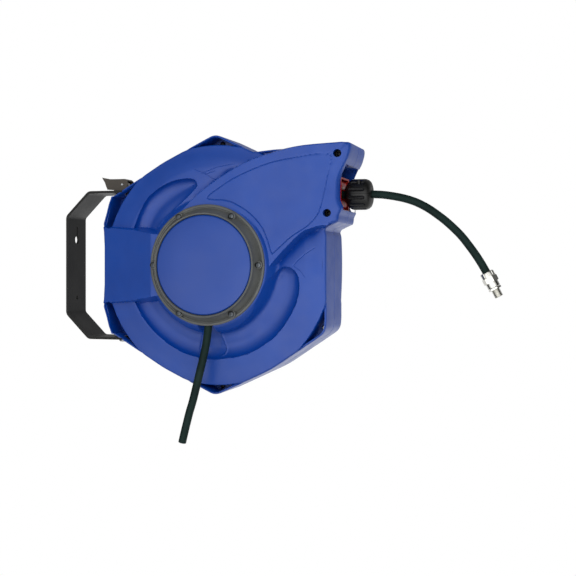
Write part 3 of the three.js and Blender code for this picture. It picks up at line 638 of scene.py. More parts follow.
def rim_shape(height, p, z, soft_edge, reach, soft_round):
    """Adds the lip round the corners, and rounds the edge over, more so near the soft edge."""
    rim = depth_inside(p, z, OUTLINE)
    lip = ease(np.hypot(p, z), 184.5, 186.5) * (1 - ease(rim, 2.6, 3.6))
    height = height + lip * np.clip(50 - height, 0, 4)
    rounding = np.where(edge_distance(p, z, soft_edge) < reach, soft_round, EDGE_ROUND)
    into = np.clip(1 - rim / rounding, 0, 1)
    return height - rounding * (1 - np.sqrt(1 - into**2))


def front_height(p, z):
    """How far the front face stands before the parting plane."""
    radius = np.hypot(p, z)
    # the crest's circle sits a little above the drum's axis
    shift = 3.4 * ease(radius, 110, 142) * (1 - ease(radius, 160, 180))
    ring = np.hypot(p, z - shift)
    rings = [92, 93.5, 102, 105, 125, 147.5, 180, 184, 186]
    base = np.interp(ring, rings, [84, 83, 68.5, 66.5, 63, 60, 52, 51, 46])
    # the crescents: steep at the riser, and easing into a soft floor further out
    sink = np.interp(ring, [93, 98, 103, 110, 120, 131, 148], [0, 6, 12, 13.6, 14.5, 15.5, 15])
    inside = np.maximum(depth_inside(p, z, UPPER_CRESCENT), depth_inside(p, z, LOWER_CRESCENT))
    spoon = np.clip(inside / (5 + 23 * ease(ring, 104, 126)), 0, 1)
    height = base - sink * np.sqrt(1 - (1 - spoon) ** 2)
    # a valley runs beside the fin and fades towards the outer band
    fin_inside = depth_inside(p, z, FIN)
    fade_from = 138 + 20 * ease(p - z, -30, 30)
    fade = ease(radius, 94, 108) * (1 - ease(radius, fade_from, fade_from + 26))
    valley = np.exp(-np.maximum(-fin_inside, 0) / 12) * fade
    height = height - 12 * valley * (1 - 0.8 * ease(inside, -2, 14))
    # the funnel below the ring, with a thin raised lip, lets the inlet hose out
    funnel_inside = depth_inside(p, z, FUNNEL)
    floor = np.interp(-z, [80, 98, 112, 126, 136, 144], [58, 56, 50, 47, 50, 57]) + 0.012 * p**2
    height = height + 0.9 * np.exp(-((funnel_inside + 0.8) / 0.9) ** 2) * ease(-z, 98, 106)
    sunk = np.minimum(height, np.maximum(floor, height - 3.2 * funnel_inside))
    height = np.where(funnel_inside > 0, sunk, height)
    # the bridge is a sloping flat, and the fin bends down from the ring to the snout
    bridge = np.interp(p, [-188, -92], [53, SEAT_H])
    height = np.maximum(height, bridge - wall_drop(-depth_inside(p, z, BRIDGE)))
    run = p - 62
    fin = SEAT_H - 0.083 * (run + np.sqrt(run**2 + 24**2))
    height = np.maximum(height, fin - wall_drop(-fin_inside))
    line = edge_distance(p, z, PANEL_LINE, closed=True)
    height = height - LINE_DEPTH * np.exp(-(line / LINE_HALF) ** 2)
    for crease in CREASES:
        height = height - CREASE_DEPTH * np.exp(-(edge_distance(p, z, crease) / CREASE_HALF) ** 2)
    return rim_shape(height, p, z, MOUTH_EDGE, reach=12, soft_round=7.0)


def back_height(p, z):
    """How far the rear shell stands behind the parting plane, with its twelve ribs."""
    radius = np.hypot(p, z)
    height = np.interp(radius, [104, 110, 150, 174, 182, 184, 186], [66, 62, 62, 57, 50, 49, 46])
    rib_turn = np.arctan2(z, p) / (math.pi / 6)
    rib = np.abs(rib_turn - np.round(rib_turn)) * (math.pi / 6) * radius
    height = height + 2.2 * (1 - ease(rib, 1.6, 3.2)) * ease(radius, 108, 112) * (1 - ease(radius, 158, 172))
    height = np.maximum(height, 46 - wall_drop(-depth_inside(p, z, SNOUT)))
    height = np.maximum(height, 50 - wall_drop(-depth_inside(p, z, BRIDGE)))
    return rim_shape(height, p, z, SNOUT_END, reach=14, soft_round=11.0)


# %% [markdown]
# ## Spinning a shell that isn't round
#
# Each shell starts as a closed section, face, rim, parting edge and hollow, spun about the drum's
# axis. That makes a closed, even mesh. The section's outer radii are only codes: after the spin,
# each vertex moves out to its own share of the outline at its angle, and each face vertex to its
# height. Before that, edges near a feature are split until they are short enough to draw it.

# %% Shell maker
PLAIN_R = 172  # up to here the face's rings are true circles
STEP_R = 185.5
COLUMNS = 600
FACE = 500.0  # marks the vertices that become the face
CLEARANCE = 0.15  # from a split's plane to each half
RIM_WALL = 5
HOLLOW_R = 171
RIM_CODE = 300
FACE_RINGS = (
    [80, 84, 88, 91, 92.5, 94, 96, 98, 100, 102, 104, 106, 108.5, 111, 114, 117, 120, 123, 126, 129, 132, 135]
    + [137.5, 140, 142, 144, 145.5, 147, 148.5, 150, 152.5, 155, 158, 161, 164, 167, 170]
)
EDGE_OFFSETS = [4.8, 4.2, 3.4, 2.6, 1.9, 1.3, 0.8, 0.4, 0.1]


def rim_code(offset):
    """The section's radius that stands for a distance inside the outline."""
    return RIM_CODE - offset


def share_code(share):
    """The section's radius that stands for a share of the way from the plain circle to the rim."""
    return PLAIN_R + 100 * share


def coded_radius(code, reach):
    """The real radius that a code stands for, where the outline reaches this far."""
    share = PLAIN_R + (code - PLAIN_R) / 100 * (reach - RIM_WALL - PLAIN_R)
    offset = RIM_CODE - code
    return np.where(code <= PLAIN_R, code, np.where(offset > 10, share, reach - offset))


def read_places(bm):
    flat = np.array([v.co[:] for v in bm.verts])
    return flat[:, 0], flat[:, 1], flat[:, 2]


def write_places(bm, p, y, z):
    for vert, place_now in zip(bm.verts, np.stack([p, y, z], axis=1)):
        vert.co = place_now


def split_near(bm, distance, target, reach):
    """Splits the face's edges that are within reach of a feature and longer than the target."""
    bm.verts.index_update()
    p, y, z = read_places(bm)
    a, b = np.array([[v.index for v in edge.verts] for edge in bm.edges]).T
    length = np.hypot(p[a] - p[b], z[a] - z[b])
    long_face = (y[a] == FACE) & (y[b] == FACE) & (length > target)
    middle = [(side[a[long_face]] + side[b[long_face]]) / 2 for side in (p, z)]
    near = distance(*middle) < reach + length[long_face] / 2
    bm.edges.ensure_lookup_table()
    edges = [bm.edges[i] for i in np.flatnonzero(long_face)[near]]
    bmesh.ops.subdivide_edges(bm, edges=edges, cuts=1)
    crowded = [f for f in bm.faces if len(f.verts) > 3 and f.verts[0].co.y == FACE]
    bmesh.ops.triangulate(bm, faces=crowded)


def make_shell(section, height, side, refine=()):
    """A closed shell from its section, with its face lifted to the height."""
    bm = bmesh.new()
    verts, edges = chain(bm, [(r, y, 0) for r, y in section])
    whole = {"angle": 2 * math.pi, "steps": COLUMNS, "use_merge": True}
    bmesh.ops.spin(bm, geom=verts + edges, cent=(0, 0, 0), axis=(0, 1, 0), **whole)
    p, y, z = read_places(bm)
    code, angle = np.hypot(p, z), np.arctan2(z, p)
    radius = coded_radius(code, outline_reach(angle))
    write_places(bm, radius * np.cos(angle), y, radius * np.sin(angle))
    for distance, target, reach in refine:
        split_near(bm, distance, target, reach)
    p, y, z = read_places(bm)
    face = y == FACE
    y[face] = side * height(p[face], z[face])
    write_places(bm, p, y, z)
    bmesh.ops.triangulate(bm, faces=[f for f in bm.faces if len(f.verts) > 4])
    bmesh.ops.recalc_face_normals(bm, faces=bm.faces)
    return bm


def face_section():
    """The part of a section that becomes the face, from the middle out."""
    shares = [(share_code(s), FACE) for s in (0.0, 0.2, 0.4, 0.6, 0.8, 1.0)]
    return [(r, FACE) for r in FACE_RINGS] + shares + [(rim_code(o), FACE) for o in EDGE_OFFSETS]


def rim_section(side):
    """The rim's side wall with the small step at the parting line, and the parting edge."""
    wall = [(0, 43), (0, 22), (0, 0.9), (0.6, 0.6), (0.6, CLEARANCE), (RIM_WALL, CLEARANCE)]
    return [(rim_code(offset), side * y) for offset, y in wall] + [(HOLLOW_R, side * CLEARANCE)]


def corner_step(p, z):
    """The distance to the step round the turned base, where a corner stands out beyond it."""
    radius = np.hypot(p, z)
    return np.where(outline_reach(np.arctan2(z, p)) > STEP_R + 1.5, np.abs(radius - STEP_R), FAR_AWAY)


def features(p, z):
    """The distance to the nearest edge of the front's relief."""
    edges = [
        edge_distance(p, z, outline, closed=True)
        for outline in (UPPER_CRESCENT, LOWER_CRESCENT, BRIDGE, FIN, FUNNEL)
    ]
    return np.minimum.reduce(edges + [corner_step(p, z)])


def fine_lines(p, z):
    """The distance to the nearest engraved line or crease."""
    lines = [edge_distance(p, z, PANEL_LINE, closed=True)] + [edge_distance(p, z, c) for c in CREASES]
    return np.minimum.reduce(lines)


AXLE_HOLE_R = 9.6
front_section = face_section() + rim_section(-1) + [
    (HOLLOW_R, -41), (118, -41), (104, -50), (AXLE_HOLE_R, -52), (AXLE_HOLE_R, -56), (79, -56),
    (79, -SEAT_H + 0.5),
]
relief_passes = [(features, 2.4, 4), (features, 1.5, 3)]  # what is near, edge length, how near
line_passes = [(fine_lines, 2.4, 1.5), (fine_lines, 1.3, 1.2), (fine_lines, 0.7, 0.9)]
front = make_shell(front_section, front_height, -1, relief_passes + line_passes)
print("front shell:", len(front.faces), "faces before its cuts")

# %% [markdown]
# ## What both shells lose
#
# The corners are hollow, and their screws stand at the bottom of the pockets. Flats above and below
# give the bracket's arms room to swivel, with a hole for each bush, and the snout is hollow and open
# at its end for the roller guide. These are straight cuts, so a Boolean makes each one crisp.

# %% Cuts
POCKET_R = 184.8
POCKET_FLOOR_H = 14
POCKET_WALL = 3.2
SCREW_HOLE_R = 2.3
BUSH_HOLE_R = 8.4
CORNER_SCREWS = [on_circle(190, degrees) for degrees, _ in CORNERS]
COVER_SCREWS = [on_circle(84.1, degrees) for degrees in range(0, 360, 60)]
SNOUT_SCREWS = [(196, 165), (181, 77)]
SNOUT_HOLLOW = [
    (60, 90), (70, 155), (100, 168), (150, 171), (178, 173), (184, 150), (240, 150), (240, 82), (150, 82),
]


def pocket_outline(degrees):
    """One corner's pocket, between the circle and the rim's wall, with rounded ends."""
    angles = np.radians(np.arange(degrees - 12, degrees + 12.1, 1.0))
    far = outline_reach(angles) - POCKET_WALL - 1.2 * np.abs(np.degrees(angles) - degrees) / 12
    open_here = far > POCKET_R + 1.2
    angles, far = angles[open_here], far[open_here]
    outer = list(zip(far * np.cos(angles), far * np.sin(angles)))
    inner = list(zip(POCKET_R * np.cos(angles[::-1]), POCKET_R * np.sin(angles[::-1])))
    return outer + inner


def pockets(y0, y1):
    return gather(*[plate(pocket_outline(degrees), y0, y1) for degrees, _ in CORNERS])


def screw_holes(places, radius, y0, y1):
    return gather(*[rod(radius, (p, y0, z), (p, y1, z), 24) for p, z in places])


def both_ends(low, high):
    """A block and its mirror image below the parting of the arms."""
    return gather(block(low, high), block((low[0], low[1], -high[2]), (high[0], high[1], -low[2])))


def arm_room():
    """The flats for the bracket's arms and the bush holes, above and below, as three cutters."""
    slots = both_ends((-215, -36, 113), (-144, 36, 160))
    trims = both_ends((-215, -70, 115.3), (-157, 70, 161))
    spans = [(91, 125), (-125, -91)]
    holes = [rod(BUSH_HOLE_R, (SWIVEL_P, 0, low), (SWIVEL_P, 0, high)) for low, high in spans]
    return slots, trims, gather(*holes)


def swivel_bosses(side):
    """The round bosses that hold the bushes, cut off at the parting plane."""
    bosses = gather(*[rod(18, (SWIVEL_P, 0, s * 58), (SWIVEL_P, 0, s * 112.9), 64) for s in (1, -1)])
    return tidy(keep_beyond(bosses, (0, side * CLEARANCE, 0), (0, side, 0)))


def cut_shell(bm, side, hollow_y, pocket_y, bore_y):
    """Adds the bosses, then cuts the snout's hollow, the pockets, the arms' room and the bores."""
    bm = combine(bm, swivel_bosses(side), "UNION")
    cutters = [plate(SNOUT_HOLLOW, *hollow_y), pockets(*pocket_y), *arm_room()]
    cutters.append(screw_holes(CORNER_SCREWS + SNOUT_SCREWS, SCREW_HOLE_R, *bore_y))
    for cutter in cutters:
        bm = combine(bm, cutter)
    return bm


front = cut_shell(front, -1, (-46, 1), (-70, -POCKET_FLOOR_H), (-70, 1))
front = combine(front, screw_holes(SNOUT_SCREWS, 6, -80, -48))
front = combine(front, block((-9.5, -86, -96), (9.5, -58, -70)))
front = combine(front, screw_holes(COVER_SCREWS, SCREW_HOLE_R, -90, -68))
place(front, "front_shell_moulding", "housing", shell_abs, "housing_blue", "front_shell")
rear_section = face_section() + rim_section(1) + [
    (HOLLOW_R, 44), (150, 55), (108, 55), (102, 61), (AXLE_HOLE_R, 61), (AXLE_HOLE_R, 66), (40, 66),
]
rear = make_shell(rear_section, back_height, 1, refine=[(corner_step, 2.4, 4)])
rear = cut_shell(rear, 1, (-1, 45), (25, 70), (-1, 20))
place(rear, "rear_shell_moulding", "housing", shell_abs, "housing_blue", "rear_shell")

# %% [markdown]
# ## Cover ring, disc and screws
#
# A grey nylon ring clamps the disc over the inlet chamber with six pan-head screws. It is a turned
# part with six small bosses, so its section is spun: a flat flange, a dark gutter, a cone and a
# rounded lip round the disc. The screws are one shape, turned and cut with a cross, set six times.

# %% Ring, disc and cover screws


def cross_head(radius, thickness, shank, length, place_now):
    """A pan-head screw along Y with a cross recess. Its head's front is at the place."""
    dome = [
        (0, 0), (radius * 0.45, 0.05), (radius * 0.75, 0.35), (radius * 0.95, 0.95), (radius, 1.6),
        (radius, thickness), (shank, thickness), (shank, length - 0.8), (shank - 0.8, length), (0, length),
    ]
    bm = turned(dome, 32)
    reach, slot = radius * 0.55, radius * 0.11
    for low, high in (((-reach, -1, -slot), (reach, 1.5, slot)), ((-slot, -1, -reach), (slot, 1.5, reach))):
        bm = combine(bm, block(low, high))
    bmesh.ops.translate(bm, verts=bm.verts, vec=place_now)
    return bm


RING_STEPS = 192
ring = turned([
    (91.5, -84.3), (91.5, -86.3), (91.2, -87.1), (90.5, -87.6), (88.6, -87.9), (87.6, -87.6), (87.0, -86.6),
    (85.8, -86.4), (85.0, -87.2), (84.3, -89.0), (80.7, -94.6), (79.8, -96.4), (79.3, -98.5), (79.0, -101.4),
    (78.5, -102.4), (77.5, -103), (76.5, -102.8), (75.7, -102), (75.4, -101), (75.3, -98), (70, -98),
    (70, -95), (76, -95), (80, -84.3),
], RING_STEPS)
boss = [(0, -84.31), (6, -84.31), (6, -91.9), (5.6, -92.7), (4.8, -93), (0, -93)]
ring = combine(ring, gather(*[turned(boss, 40, (p, 0, z)) for p, z in COVER_SCREWS]), "UNION")
ring = combine(ring, screw_holes(COVER_SCREWS, 4.9, -110, -93.01))
ring = combine(ring, screw_holes(COVER_SCREWS, SCREW_HOLE_R, -110, -80))
place(ring, "cover_ring_moulding", "housing", ring_nylon, "ring_grey", "cover_ring")
disc = turned([
    (0, -98.3), (74.9, -98.3), (74.9, -99.9), (74.6, -100.4), (73.2, -101.3), (72.6, -101.5), (37, -101.8),
    (0, -101.9),
], RING_STEPS)
place(disc, "front_disc_plate", "housing", disc_abs, "disc_blue", "front_disc")
for i, (p, z) in enumerate(COVER_SCREWS, 1):
    head = cross_head(4.4, 3, 2, 24, (p, -96.3, z))
    place(head, f"cover_screw_{i}_pan_head", "housing", spring_steel, "ring_grey", f"cover_screw_{i}")

# %% [markdown]
# ## Shell screws
#
# Five screws clamp the corners and two the snout. Their heads stand at the bottom of deep pockets,
# so only a glint shows. All but the brightest get a near-black steel as painted shade, and the snout's
# two also sit in small black cups in their counterbores, which paint shade into the holes.

# %% Shell screws
SNOUT_SEAT = -48
# a black cup in each snout counterbore, a dark lining put there as painted shade in the hole
shade_cup_section = [
    (2.6, -48.1), (5.8, -48.1), (5.8, -55.4), (5.3, -56), (4.9, -55.4), (4.5, -49.2), (2.6, -49.2),
]
for i, (p, z) in enumerate(CORNER_SCREWS + SNOUT_SCREWS, 1):
    in_corner = i <= len(CORNERS)
    seat, length = (-POCKET_FLOOR_H, 35) if in_corner else (SNOUT_SEAT, 64)
    head = cross_head(3.8, 3, 2, length, (p, seat - 3.3, z))
    # every screw but the brightest is darkened as painted shade for its pocket or hole
    finish = zinc if i == len(CORNERS) else painted_shade_black
    place(head, f"shell_screw_{i}_pan_head", "housing", finish, "steel", f"shell_screw_{i}")
for name, (p, z) in zip(("upper", "lower"), SNOUT_SCREWS):
    cup = turned(shade_cup_section, 40, (p, 0, z))
    place(cup, f"snout_screw_shade_cup_{name}", "housing", stop_nylon, "plastic_black")

# %% [markdown]
# ## The wall bracket
#
# It is one strap of 60 x 4 mm steel, bent four times with a real inside radius, pierced, then powder
# coated. Its side view is drawn with rounded bends and pushed to the strap's width. The tips are
# trimmed and the holes cut, and a Bevel modifier rolls the edges over as the coat does.

# %% Strap
ARM_H = 120
PLATE_HALF = 80
PLATE_BACK = 40  # how far the bends slope back from the arms to the wall plate
STRAP_T = 4
STRAP_HALF = 30
TIP_P = SWIVEL_P + 27
KEYHOLE_Z, KEYHOLE_TOP_Z, KEYHOLE_R, KEYHOLE_SLOT_R = 42, 61.4, 6.8, 2.6
LOWER_HOLE_Z, LOWER_HOLE_R = -54, 3.25


def rounded(points, radius, steps=8):
    """A line with its inner corners rounded by an arc."""
    line = [points[0]]
    for before, corner, after in zip(points, points[1:], points[2:]):
        here = Vector(corner)
        back, ahead = (Vector(before) - here).normalized(), (Vector(after) - here).normalized()
        half = back.angle(ahead) / 2
        middle = here + (back + ahead).normalized() * radius / math.sin(half)
        start, end = here + back * radius / math.tan(half), here + ahead * radius / math.tan(half)
        from_angle = math.atan2(*reversed(start - middle))
        sweep = math.remainder(math.atan2(*reversed(end - middle)) - from_angle, 2 * math.pi)
        for i in range(steps + 1):
            angle = from_angle + sweep * i / steps
            line.append((middle.x + radius * math.cos(angle), middle.y + radius * math.sin(angle)))
    return line + [points[-1]]


LEAN = STRAP_T * math.tan(math.radians(22.5))  # what a bend of 45 degrees takes off the inner line
outer_half = [(TIP_P, ARM_H), (WALL_P + PLATE_BACK, ARM_H), (WALL_P, PLATE_HALF)]
inner_half = [
    (TIP_P, ARM_H - STRAP_T), (WALL_P + PLATE_BACK + LEAN, ARM_H - STRAP_T),
    (WALL_P + STRAP_T, PLATE_HALF - LEAN),
]
outer_line, inner_line = (half + [(p, -z) for p, z in half[::-1]] for half in (outer_half, inner_half))
strap = plate(rounded(outer_line, 12) + rounded(inner_line, 8)[::-1], -STRAP_HALF, STRAP_HALF)
for side in (-1, 1):
    tip = [(SWIVEL_P + 8, side * 31), (TIP_P - 2, side * 15), (TIP_P + 1, side * 8), (TIP_P + 1, side * 31)]
    strap = combine(strap, extruded(tip, (0, 0, 250), lambda p, y: (p, y, -125)))
through = (WALL_P - 2, WALL_P + STRAP_T + 2)


def wall_hole(radius, z):
    """A cutter for a round hole through the wall plate."""
    return rod(radius, (through[0], 0, z), (through[1], 0, z), 48)


slot_low = (through[0], -KEYHOLE_SLOT_R, KEYHOLE_Z)
slot_high = (through[1], KEYHOLE_SLOT_R, KEYHOLE_TOP_Z)
for cutter in (
    wall_hole(KEYHOLE_R, KEYHOLE_Z), block(slot_low, slot_high), wall_hole(KEYHOLE_SLOT_R, KEYHOLE_TOP_Z),
    wall_hole(LOWER_HOLE_R, LOWER_HOLE_Z), rod(6.3, (SWIVEL_P, 0, -125), (SWIVEL_P, 0, 125), 48),
):
    strap = combine(strap, cutter)
bracket = place(
    strap, "wall_bracket_strap", "bracket", bracket_coat, "bracket_black", "wall_bracket", crease=30
)
roll_edges(bracket, "rolled_edges", 0.7)

# %% [markdown]
# ## Swivel pins, bushes and the release handle
#
# The housing turns on two pins. The lower one is riveted into its arm; the upper one is loose, and
# a small folded handle pulls it up to take the reel off. Pins and bushes are turned round an
# upright axis. The handle is a channel with a thumb lip, and its red grip shows at its open end.

# %% Pins, bushes and handle
EYE_Z = 131
UPRIGHT = Matrix.Rotation(math.radians(90), 4, "X")


def upright(profile, steps=48, flip=1):
    """A part turned from (radius, height) points about the swivel axis."""
    bm = turned(profile, steps)
    bmesh.ops.transform(bm, matrix=UPRIGHT, verts=bm.verts)
    bmesh.ops.scale(bm, verts=bm.verts, vec=(1, 1, flip))
    bmesh.ops.translate(bm, verts=bm.verts, vec=(SWIVEL_P, 0, 0))
    return tidy(bm)


lower_pin = upright([
    (0, 94), (5.2, 94), (6, 95), (6, 120.3), (10, 120.3), (10, 123.2), (8.6, 124.6), (0, 125),
], flip=-1)
place(lower_pin, "lower_pivot_rivet", "bracket", zinc, "steel", "lower_pivot_pin")
for name, flip in (("upper", 1), ("lower", -1)):
    bush = upright([
        (6.3, 92.2), (8.1, 93), (8.1, 113.3), (13.6, 113.3), (14, 113.7), (14, 114.9), (13.6, 115.3),
        (6.3, 115.3),
    ], flip=flip)
    place(bush, f"{name}_pivot_bush_flanged", "housing", bush_nylon, "nylon", f"{name}_pivot_bush")
pull_pin = upright([(0, 92), (5, 92), (6, 93.2), (6, 120.3), (10, 120.3), (10, 122.3), (9.2, 123), (0, 123)])
EYE_R = 6.5
eye = rod(EYE_R, (SWIVEL_P, -3, EYE_Z), (SWIVEL_P, 3, EYE_Z), 48)
eye = combine(eye, block((SWIVEL_P - EYE_R, -3, 122), (SWIVEL_P + EYE_R, 3, EYE_Z)), "UNION")
pull_pin = combine(pull_pin, eye, "UNION")
pull_pin = combine(pull_pin, rod(SCREW_HOLE_R, (SWIVEL_P, -5, EYE_Z), (SWIVEL_P, 5, EYE_Z), 32))
place(pull_pin, "pull_pin_with_eye", "pull_pin", zinc, "steel", "pull_pin")
BOW_R = 10.2
bow = [on_circle(BOW_R, degrees) for degrees in range(60, -91, -10)]
handle_side = [(-36, 12), (-33, 10.6), (-29, 9.2), (-10, 8.9), (2, 8.9), *bow, (-26, -8), (-28, -4), (-31, 4)]
handle = plate([(SWIVEL_P + p, EYE_Z + z) for p, z in handle_side], -13, 13)
handle = combine(handle, block((SWIVEL_P - 45, -11, 115), (SWIVEL_P + 4, 11, 138)))
handle = combine(handle, block((SWIVEL_P + 3, -11, 115), (SWIVEL_P + 20, 11, EYE_Z + 6)))
handle = combine(handle, rod(SCREW_HOLE_R, (SWIVEL_P, -14, EYE_Z), (SWIVEL_P, 14, EYE_Z), 32))
lever = place(
    handle, "release_handle_channel", "release_handle", handle_coat, "handle_taupe", "release_handle"
)
roll_edges(lever, "folded_edges", 0.6)
grip_side = [(-29, 137.6), (-20, 137.6), (-20, 126), (-25.5, 126)]
grip = plate([(SWIVEL_P + p, z) for p, z in grip_side], -10.8, 10.8)
bmesh.ops.bevel(grip, geom=grip.edges[:], offset=1.0, segments=3, profile=0.5, affect="EDGES", material=-1)
place(grip, "release_handle_grip", "release_handle", guide_acetal, "guide_red")
rivet = turned([
    (0, -13.5), (1.6, -13.5), (2, -13.2), (2, 13.2), (1.6, 13.5), (0, 13.5),
], 32, (SWIVEL_P, 0, EYE_Z))
place(rivet, "handle_rivet_pin", "pull_pin", zinc, "steel", "handle_rivet")

# %% [markdown]
# ## Roller guide
#
# Four acetal rollers in a red cage keep the hose off the mouth's edges: two level ones above and
# below it, and two upright ones at its sides. A roller is turned with rounded ends and a shallow
# waist. The cage is a short square tube with rolled edges.

# %% Cage, rollers and their pins
LEAD_Z = 107.6
ROLLER_OFFSET = 14.5
LEVEL_P, STANDING_P = 184, 164
ROLLER_STEPS = 48
cage = combine(block((154.5, -27.5, 82.4), (193.5, 27.5, 133)), block((150, -23, 84.7), (198, 23, 130.5)))
for side in (-1, 1):
    z = LEAD_Z + side * ROLLER_OFFSET
    y = side * ROLLER_OFFSET
    cage = combine(cage, rod(SCREW_HOLE_R, (LEVEL_P, -40, z), (LEVEL_P, 40, z), 24))
    cage = combine(cage, rod(SCREW_HOLE_R, (STANDING_P, y, 70), (STANDING_P, y, 150), 24))
guide = place(cage, "roller_cage_frame", "housing", guide_acetal, "guide_red", "roller_cage")
roll_edges(guide, "moulded_edges", 0.7)


def roller(half):
    """A roller along Y with a bore, rounded ends and a shallow waist."""
    right = [(SCREW_HOLE_R, half), (5.6, half), (7.2, half - 0.6), (7.9, half - 1.8), (8, half - 3.2)]
    right.append((7.7, half * 0.45))
    left = [(r, -y) for r, y in reversed(right)]
    return turned(right + [(7.6, 0)] + left, ROLLER_STEPS)


def pin(half):
    """A plain pin along Y with chamfered ends."""
    return turned([(0, -half), (1.6, -half), (2, 0.4 - half), (2, half - 0.4), (1.6, half), (0, half)], 24)


for name, side in (("lower", -1), ("upper", 1), ("front", -1), ("rear", 1)):
    level = name in ("lower", "upper")
    roller_half, pin_half = (22.5, 27) if level else (22.4, 24.9)
    level_at = (LEVEL_P, 0, LEAD_Z + side * ROLLER_OFFSET)
    centre = level_at if level else (STANDING_P, side * ROLLER_OFFSET, LEAD_Z + 0.05)
    wheel, shaft = roller(roller_half), pin(pin_half)
    for bm in (wheel, shaft):
        if not level:
            bmesh.ops.transform(bm, matrix=UPRIGHT, verts=bm.verts)
        bmesh.ops.translate(bm, verts=bm.verts, vec=centre)
    node = f"guide_roller_{name}"
    place(wheel, f"{node}_turned", f"roller_{name}", guide_acetal, "guide_red", node)
    place(shaft, f"roller_pin_{name}_rod", "housing", zinc, "steel", f"roller_pin_{name}")

# %% [markdown]
# ## Hose stop
#
# Two black nylon halves are screwed together round the hose, so it can't run into the reel. The body
# is turned with a long taper at one end, then fluted for grip, bored and split.

# %% Stop halves and screws
STOP_START, STOP_END, STOP_R = 195, 236, 23.5
FLUTES = 12
stop = turned([
    (0, STOP_START), (11, STOP_START), (13, STOP_START + 0.6), (18.6, STOP_START + 4.4), (21, STOP_START + 7),
    (22.8, STOP_START + 10.5), (STOP_R, STOP_START + 14), (STOP_R, STOP_END - 11), (23.1, STOP_END - 8),
    (21.8, STOP_END - 4.8), (19.4, STOP_END - 2.2), (16.2, STOP_END - 0.7), (12, STOP_END), (0, STOP_END),
], 144)
flute_section = [
    (0, STOP_START - 2), (3.3, STOP_START - 2), (3.3, STOP_END - 10), (2.6, STOP_END - 8),
    (1, STOP_END - 6.6), (0, STOP_END - 6.4),
]
grooves = []
for i in range(FLUTES):
    across, up = on_circle(STOP_R + 1.3, 360 * (i + 0.5) / FLUTES)
    grooves.append(turned(flute_section, 24, (across, 0, up)))
stop = combine(stop, gather(*grooves))
ALONG_HOSE = Matrix.Rotation(math.radians(-90), 4, "Z")
bmesh.ops.transform(stop, matrix=ALONG_HOSE, verts=stop.verts)
bmesh.ops.translate(stop, verts=stop.verts, vec=(0, 0, LEAD_Z))
stop = combine(stop, rod(HOSE_R + 0.3, (STOP_START - 3, 0, LEAD_Z), (STOP_END + 3, 0, LEAD_Z), 48))
SCREW_P = (STOP_START + STOP_END) / 2 + 3
SCREW_SIDE = 14
for y in (-SCREW_SIDE, SCREW_SIDE):
    stop = combine(stop, rod(4, (SCREW_P, y, LEAD_Z + 9), (SCREW_P, y, LEAD_Z + 40), 32))
    stop = combine(stop, rod(SCREW_HOLE_R, (SCREW_P, y, LEAD_Z - 12), (SCREW_P, y, LEAD_Z + 40), 32))
for name, side in (("upper", 1), ("lower", -1)):
    half = keep_beyond(stop.copy(), (0, 0, LEAD_Z + side * CLEARANCE), (0, 0, side))
    place(half, f"hose_stop_{name}_half", "housing", stop_nylon, "plastic_black", f"hose_stop_{name}")
stop.free()
for name, y in (("front", -SCREW_SIDE), ("rear", SCREW_SIDE)):
    head = cross_head(3.6, 2.7, 2, 23, (0, 0, 0))
    bmesh.ops.transform(head, matrix=Matrix.Rotation(math.radians(-90), 4, "X"), verts=head.verts)
    bmesh.ops.translate(head, verts=head.verts, vec=(SCREW_P, y, LEAD_Z + 12))
    place(head, f"stop_screw_{name}_pan_head", "housing", zinc, "steel", f"stop_screw_{name}")

# %% [markdown]
# ## End fitting
#
# A nickel-plated fitting grips the outlet hose: a slotted collar, a spanner hexagon, a neck and a
# second, thin hexagon with a pipe thread. Hexagons are drawn as six-sided rods and their corners are
# turned off by meeting them with a cone. The thread's ridges are turned at its real pitch.

# %% Nut and threaded body
HEX_AF = 20
THREAD_PITCH = 1.34
GRIP_LENGTH = 11  # of the hose, inside the nut
NUT_STEPS = 96
ends = [Vector(point) for point in OUTLET_ROUTE[-2:]]
end_heading = (ends[1] - ends[0]).normalized()
fit_turn = Vector((0, -1, 0)).rotation_difference(end_heading)
FIT = Matrix.Translation(ends[1] - GRIP_LENGTH * end_heading) @ fit_turn.to_matrix().to_4x4()


def hexagon(across, y0, y1, chamfer=1.0):
    """A six-sided nut along Y with turned-off corners."""
    corner = across / math.sqrt(3)
    bm = rod(corner, (0, y0, 0), (0, y1, 0), 6)
    cone = turned([
        (0, y0 - 1e-3), (across / 2, y0 - 1e-3), (corner + 0.2, y0 + chamfer), (corner + 0.2, y1 - chamfer),
        (across / 2, y1 + 1e-3), (0, y1 + 1e-3),
    ], NUT_STEPS)
    return combine(bm, cone, "INTERSECT")


collar = [(0, -8.6), (10.3, -8.6), (10.6, -8.2), (10.6, -3), (10.2, -1.2), (9, 0), (0, 0)]
neck = [(0, -25), (8.8, -25), (9.4, -24.4), (9.4, -16.5), (0, -16.5)]
nut = combine(hexagon(HEX_AF, -17, -8), turned(collar, NUT_STEPS), "UNION")
nut = combine(nut, turned(neck, NUT_STEPS), "UNION")
slot_places = [on_circle(10.8, 36 * i) for i in range(10)]
nut = combine(nut, gather(*[rod(1.1, (a, -7.4, c), (a, 1, c), 16) for a, c in slot_places]))
nut = combine(nut, rod(HOSE_R + 0.3, (0, -14, 0), (0, 1, 0), 48))
bmesh.ops.transform(nut, matrix=FIT, verts=nut.verts)
nut_piece = place(nut, "fitting_nut_plated", "housing", nickel, "nickel", "fitting_nut")
thread = [(0, -27.4)]
root = -28.3
while root > -39.4:
    thread += [(5.9, root), (6.6, root - THREAD_PITCH / 2)]
    root -= THREAD_PITCH
thread += [(5.9, root), (5.4, -40.3), (0, -40.3)]
body = combine(hexagon(17, -28.3, -25.3, 0.6), turned(thread, NUT_STEPS), "UNION")
body = combine(body, rod(3.5, (0, -45, 0), (0, -26.8, 0), 48))
bmesh.ops.transform(body, matrix=FIT, verts=body.verts)
